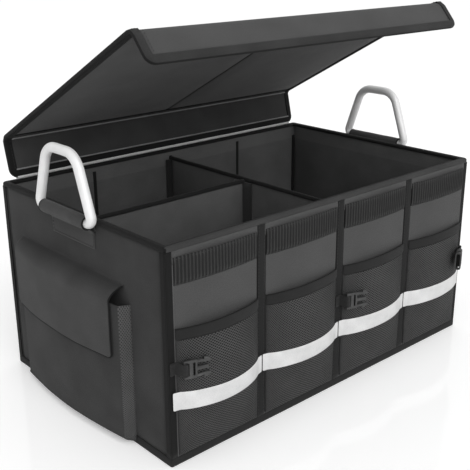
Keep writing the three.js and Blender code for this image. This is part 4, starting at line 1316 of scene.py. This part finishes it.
LID_LINE = lid_section()
LID_RUNS = [math.dist(a, b) for a, b in zip(LID_LINE, LID_LINE[1:])]
LID_LENGTH = sum(LID_RUNS)
LID_FOLD_REAR = LID_RUNS[0] + sum(LID_RUNS[1:9])
LID_FOLD_FRONT = LID_FOLD_REAR + LID_RUNS[9]
LID_TURN = Matrix.Rotation(-LID_OPEN, 3, "X")
LID_UP = LID_TURN @ Vector((0, 0, 1))


def on_lid(x, s, out=0.0):
    """A point of the open lid from its flat pattern: across, along from the hinge and out of its top."""
    left = s
    for i, (a, b) in enumerate(zip(LID_LINE, LID_LINE[1:])):
        if left <= LID_RUNS[i] or i == len(LID_RUNS) - 1:
            share = left / LID_RUNS[i]
            y, z = a[0] + (b[0] - a[0]) * share, a[1] + (b[1] - a[1]) * share
            ty, tz = lid_direction(i, share)
            break
        left -= LID_RUNS[i]
    return LID_HINGE + LID_TURN @ Vector((x, y + out * tz, z - out * ty))


def lid_direction(i, share):
    """The line's direction, turned smoothly from step to step."""
    def step(k):
        k = min(len(LID_RUNS) - 1, max(0, k))
        a, b = LID_LINE[k], LID_LINE[k + 1]
        return Vector((b[0] - a[0], b[1] - a[1])) / LID_RUNS[k]
    here = step(i)
    before = (step(i - 1) + here).normalized() if LID_RUNS[i] < 20 else here
    after = (step(i + 1) + here).normalized() if LID_RUNS[i] < 20 else here
    return before.lerp(after, share).normalized()


def add_lid(outer, pocket, lining, skirt, tape, hem, piping, pale):
    half = LID_THICKNESS / 2
    edge_x = LID_HALF_WIDTH - 1.3
    rear_end = LID_FOLD_REAR + 4
    front_start = LID_FOLD_FRONT - 4

    def two_faces(centre, thick):
        return 0 if centre.z > thick / 2 else 1

    def corners(low, radius=11.0):
        def outline(across, up):
            from_end = up if low else LID_LENGTH - up
            if from_end < radius:
                trim = radius - math.sqrt(radius ** 2 - (radius - from_end) ** 2)
                across *= (edge_x - trim) / edge_x
            return across, up
        return outline

    def lay(shift=0.0):
        return lambda a, b, n: on_lid(a + shift, b, n - half)

    make_pad("lid_rear_skirt_padding", 2 * edge_x, rear_end - 1, LID_THICKNESS, "lid", "outer_fabric",
             [outer, skirt], ["lid_rear_skirt"], lay(), bottom=1.0, caps=(0.8, 0.8), paint=two_faces,
             outline=corners(True), cell=6.5, inset=0.5)
    make_pad("lid_front_skirt_padding", 2 * edge_x, LID_LENGTH - front_start - 1, LID_THICKNESS, "lid",
             "pocket_fabric", [pocket, lining], ["lid_front_skirt"], lay(), bottom=front_start,
             caps=(0.8, 0.8), paint=two_faces, outline=corners(False), cell=6.5, inset=0.5)
    panel_wide = edge_x - 0.6
    panel_tall = front_start - rear_end
    for side, name in ((-1, "left"), (1, "right")):
        make_pad(f"lid_panel_{name}_padding", panel_wide, panel_tall, LID_THICKNESS, "lid", "outer_fabric",
                 [outer, lining], [f"lid_panel_{name}"], lay(side * (0.6 + panel_wide / 2)),
                 bottom=rear_end, caps=(1.6, 2.2), paint=two_faces, cell=9, inset=0.8)

    for name, s in (("rear", rear_end), ("front", front_start)):
        line = [Vector(on_lid(x, s)) for x in range(-285, 286, 15)]
        add_cord(f"lid_seam_{name}", line, 2.5, "lid", tape)

    def strip(u, v):
        x = (2 * u - 1) * LID_STRIP_HALF
        s = front_start + 2 - v * (front_start - rear_end + 4)
        return on_lid(x, s, half + 0.3 - 0.3 * (2 * u - 1) ** 2)

    sewn_sheet("lid_fold_cover", lambda u, v: strip(u, 1 - v), 8, 40, 1.0, "lid", tape,
               ["lid_fold_strip"])

    wrapped = half + 0.5
    reach = LID_BINDING
    profile = [(-reach, wrapped), (-1.5, wrapped)]
    for i in range(1, 8):
        angle = math.pi / 2 - math.pi * i / 8
        profile.append((-1.5 + 1.8 * math.cos(angle), wrapped * math.sin(angle)))
    profile += [(-1.5, -wrapped), (-reach, -wrapped)]
    mid = LID_LENGTH / 2

    def edging(u, v):
        inward, out = through(profile, v)
        radius = 12.0 + inward
        x, s = around_box(u, LID_HALF_WIDTH - 1.0 + inward, LID_LENGTH / 2 - 0.2 + inward, max(2.0, radius))
        x = min(LID_HALF_WIDTH, max(-LID_HALF_WIDTH, x))
        return on_lid(x, min(LID_LENGTH, max(0.0, mid + s)), out)

    edge = sewn_sheet("lid_edge_binding", edging, 240, 14, 0.9, "lid", [tape, hem],
                      ["lid_binding_left", "lid_binding_right"],
                      join_ends=True, flat_uv=(2.1, 0.024))
    front_plane = Vector(on_lid(0, LID_FOLD_FRONT + 4)) * MM
    outward = skirt_out(LID_LENGTH - 5)
    for face in edge.data.polygons:
        if (face.center - front_plane).y < 0.004 and face.normal.dot(outward) > 0.5:
            face.material_index = 1
    for side in (-1, 1):
        for out in (-1, 1):
            x = side * (LID_HALF_WIDTH - LID_BINDING + 1.6)
            points = [on_lid(x, 12 + (LID_LENGTH - 24) * i / 80, out * (wrapped + 0.9)) for i in range(81)]
            sew(points, out * LID_UP, "lid")
    for name, s in (("fold", LID_FOLD_REAR - 5), ("hem", 11.0)):
        line = [Vector(on_lid(x, s, -half - 1.0)) for x in range(-280, 281, 14)]
        add_cord(f"rear_skirt_piping_{name}", line, 1.1, "lid", piping)
    reach = LID_HALF_WIDTH - 14
    for x in (-reach, reach):
        sew([on_lid(x, LID_FOLD_FRONT + 8 + 30 * i / 10, half + 1.4) for i in range(11)],
            outward, "lid")

    def roll(u, v):
        angle = 2 * math.pi * u
        radius = HEM_ROLL_RADIUS + ripple((v * 2 * HEM_ROLL_HALF, 0, 0), 40, 0.15)
        x = (2 * v - 1) * HEM_ROLL_HALF
        return x, LID_HINGE.y + radius * math.cos(angle), LID_HINGE.z + radius * math.sin(angle)

    sewn_sheet("lid_hem_roll", roll, 14, 60, 0.4, "lid", pale,
               join_ends=True)


def skirt_out(s):
    """Which way the skirt's upper face looks at that place along the lid."""
    return (Vector(on_lid(0, s, 1.0)) - Vector(on_lid(0, s, 0.0))).normalized()


set_camera()
set_light()
outer_cloth = woven("outer_oxford_cloth", 71)
sleeve_cloth = woven("sleeve_oxford_cloth", 76, sheen=0.15)
# The flap's cloth has a band of painted shade along its top, over the shoulder where it leaves the wall.
flap_cloth = woven("flap_oxford_cloth", 84, painted_shade_band=(78, 104, 122))
pocket_cloth = woven("pocket_oxford_cloth", 95, spread=4)
lining_cloth = woven("lining_cloth", 104, pitch=0.6, depth=0.08)
hem_cloth = woven("lining_hem_cloth", 112, pitch=0.6, depth=0.08)
lid_lining = woven("lid_lining_cloth", 90, pitch=0.6, depth=0.08, sheen=0.15)
skirt_lining = woven("skirt_lining_cloth", 76, pitch=0.6, depth=0.08)
floor_cloth = woven("floor_cloth", 48)
board_cloth = woven("board_cover_cloth", 46, pitch=0.7)
binding_tape = taped("binding_tape", 22)
webbing_tape = taped("webbing_tape", 46, pitch=1.6)
piping_cloth = woven("piping_cloth", 105, pitch=0.7)
pale_cloth = woven("pale_hem_cloth", 253, pitch=0.6, depth=0.05, spread=1)
lip_cloth = woven("rim_lip_cloth", 74, pitch=0.7)
seam_tape = taped("seam_tape", 34)
base_tape = taped("base_tape", 40)
lid_hem_tape = woven("lid_hem_tape", 62, pitch=0.7)
skirt_piping = woven("skirt_piping_cloth", 170, pitch=0.6)
elastic_cloth = ribbed("elastic_ribs", 58)
net_cloth = netting("pocket_netting", 86, 14, pitch=2.6, depth=0.7)
gusset_cloth = netting("gusset_netting", 96, 58, pitch=2.4, depth=0.4)
hem_tape = woven("net_hem_cloth", 50, pitch=0.6)
reflector_tape = reflective("reflective_tape")
handle_satin = satin_metal("satin_aluminium")
buckle_acetal = moulded("buckle_acetal")
loop_tape = hooked("loop_tape", 34)
grey_thread = sewing_thread("sewing_thread", 54)

floor = bmesh.new()
bmesh.ops.create_grid(floor, x_segments=4, y_segments=4, size=30)
floor_mesh = bpy.data.meshes.new("studio_floor")
floor.to_mesh(floor_mesh)
floor.free()
floor_mesh.materials.append(studio_floor())
floor_object = bpy.data.objects.new("studio_floor", floor_mesh)
scene.collection.objects.link(floor_object)

add_box(outer_cloth, lining_cloth, hem_cloth, floor_cloth, board_cloth)
add_dividers(lining_cloth, binding_tape, loop_tape)
add_lid(outer_cloth, pocket_cloth, lid_lining, skirt_lining, binding_tape, lid_hem_tape, skirt_piping,
        pale_cloth)
fill_pads()
add_bindings(binding_tape, seam_tape, base_tape, lip_cloth)
add_inner_seams(binding_tape)
add_front_border(pocket_cloth, piping_cloth)
add_front_pockets(pocket_cloth, elastic_cloth, net_cloth, hem_tape, binding_tape, reflector_tape)
add_webbing(webbing_tape)
rounded_copy("buckle_plug_left", "plug_left", "left_plug", buckle_acetal)
rounded_copy("buckle_plug_middle", "plug_middle", "middle_plug", buckle_acetal)
rounded_copy("buckle_socket", "socket_right", "socket", buckle_acetal)
add_side_pocket(outer_cloth, gusset_cloth, binding_tape)
add_flap(flap_cloth, binding_tape)
add_handles(handle_satin, sleeve_cloth, binding_tape)
stitch_pieces(grey_thread)
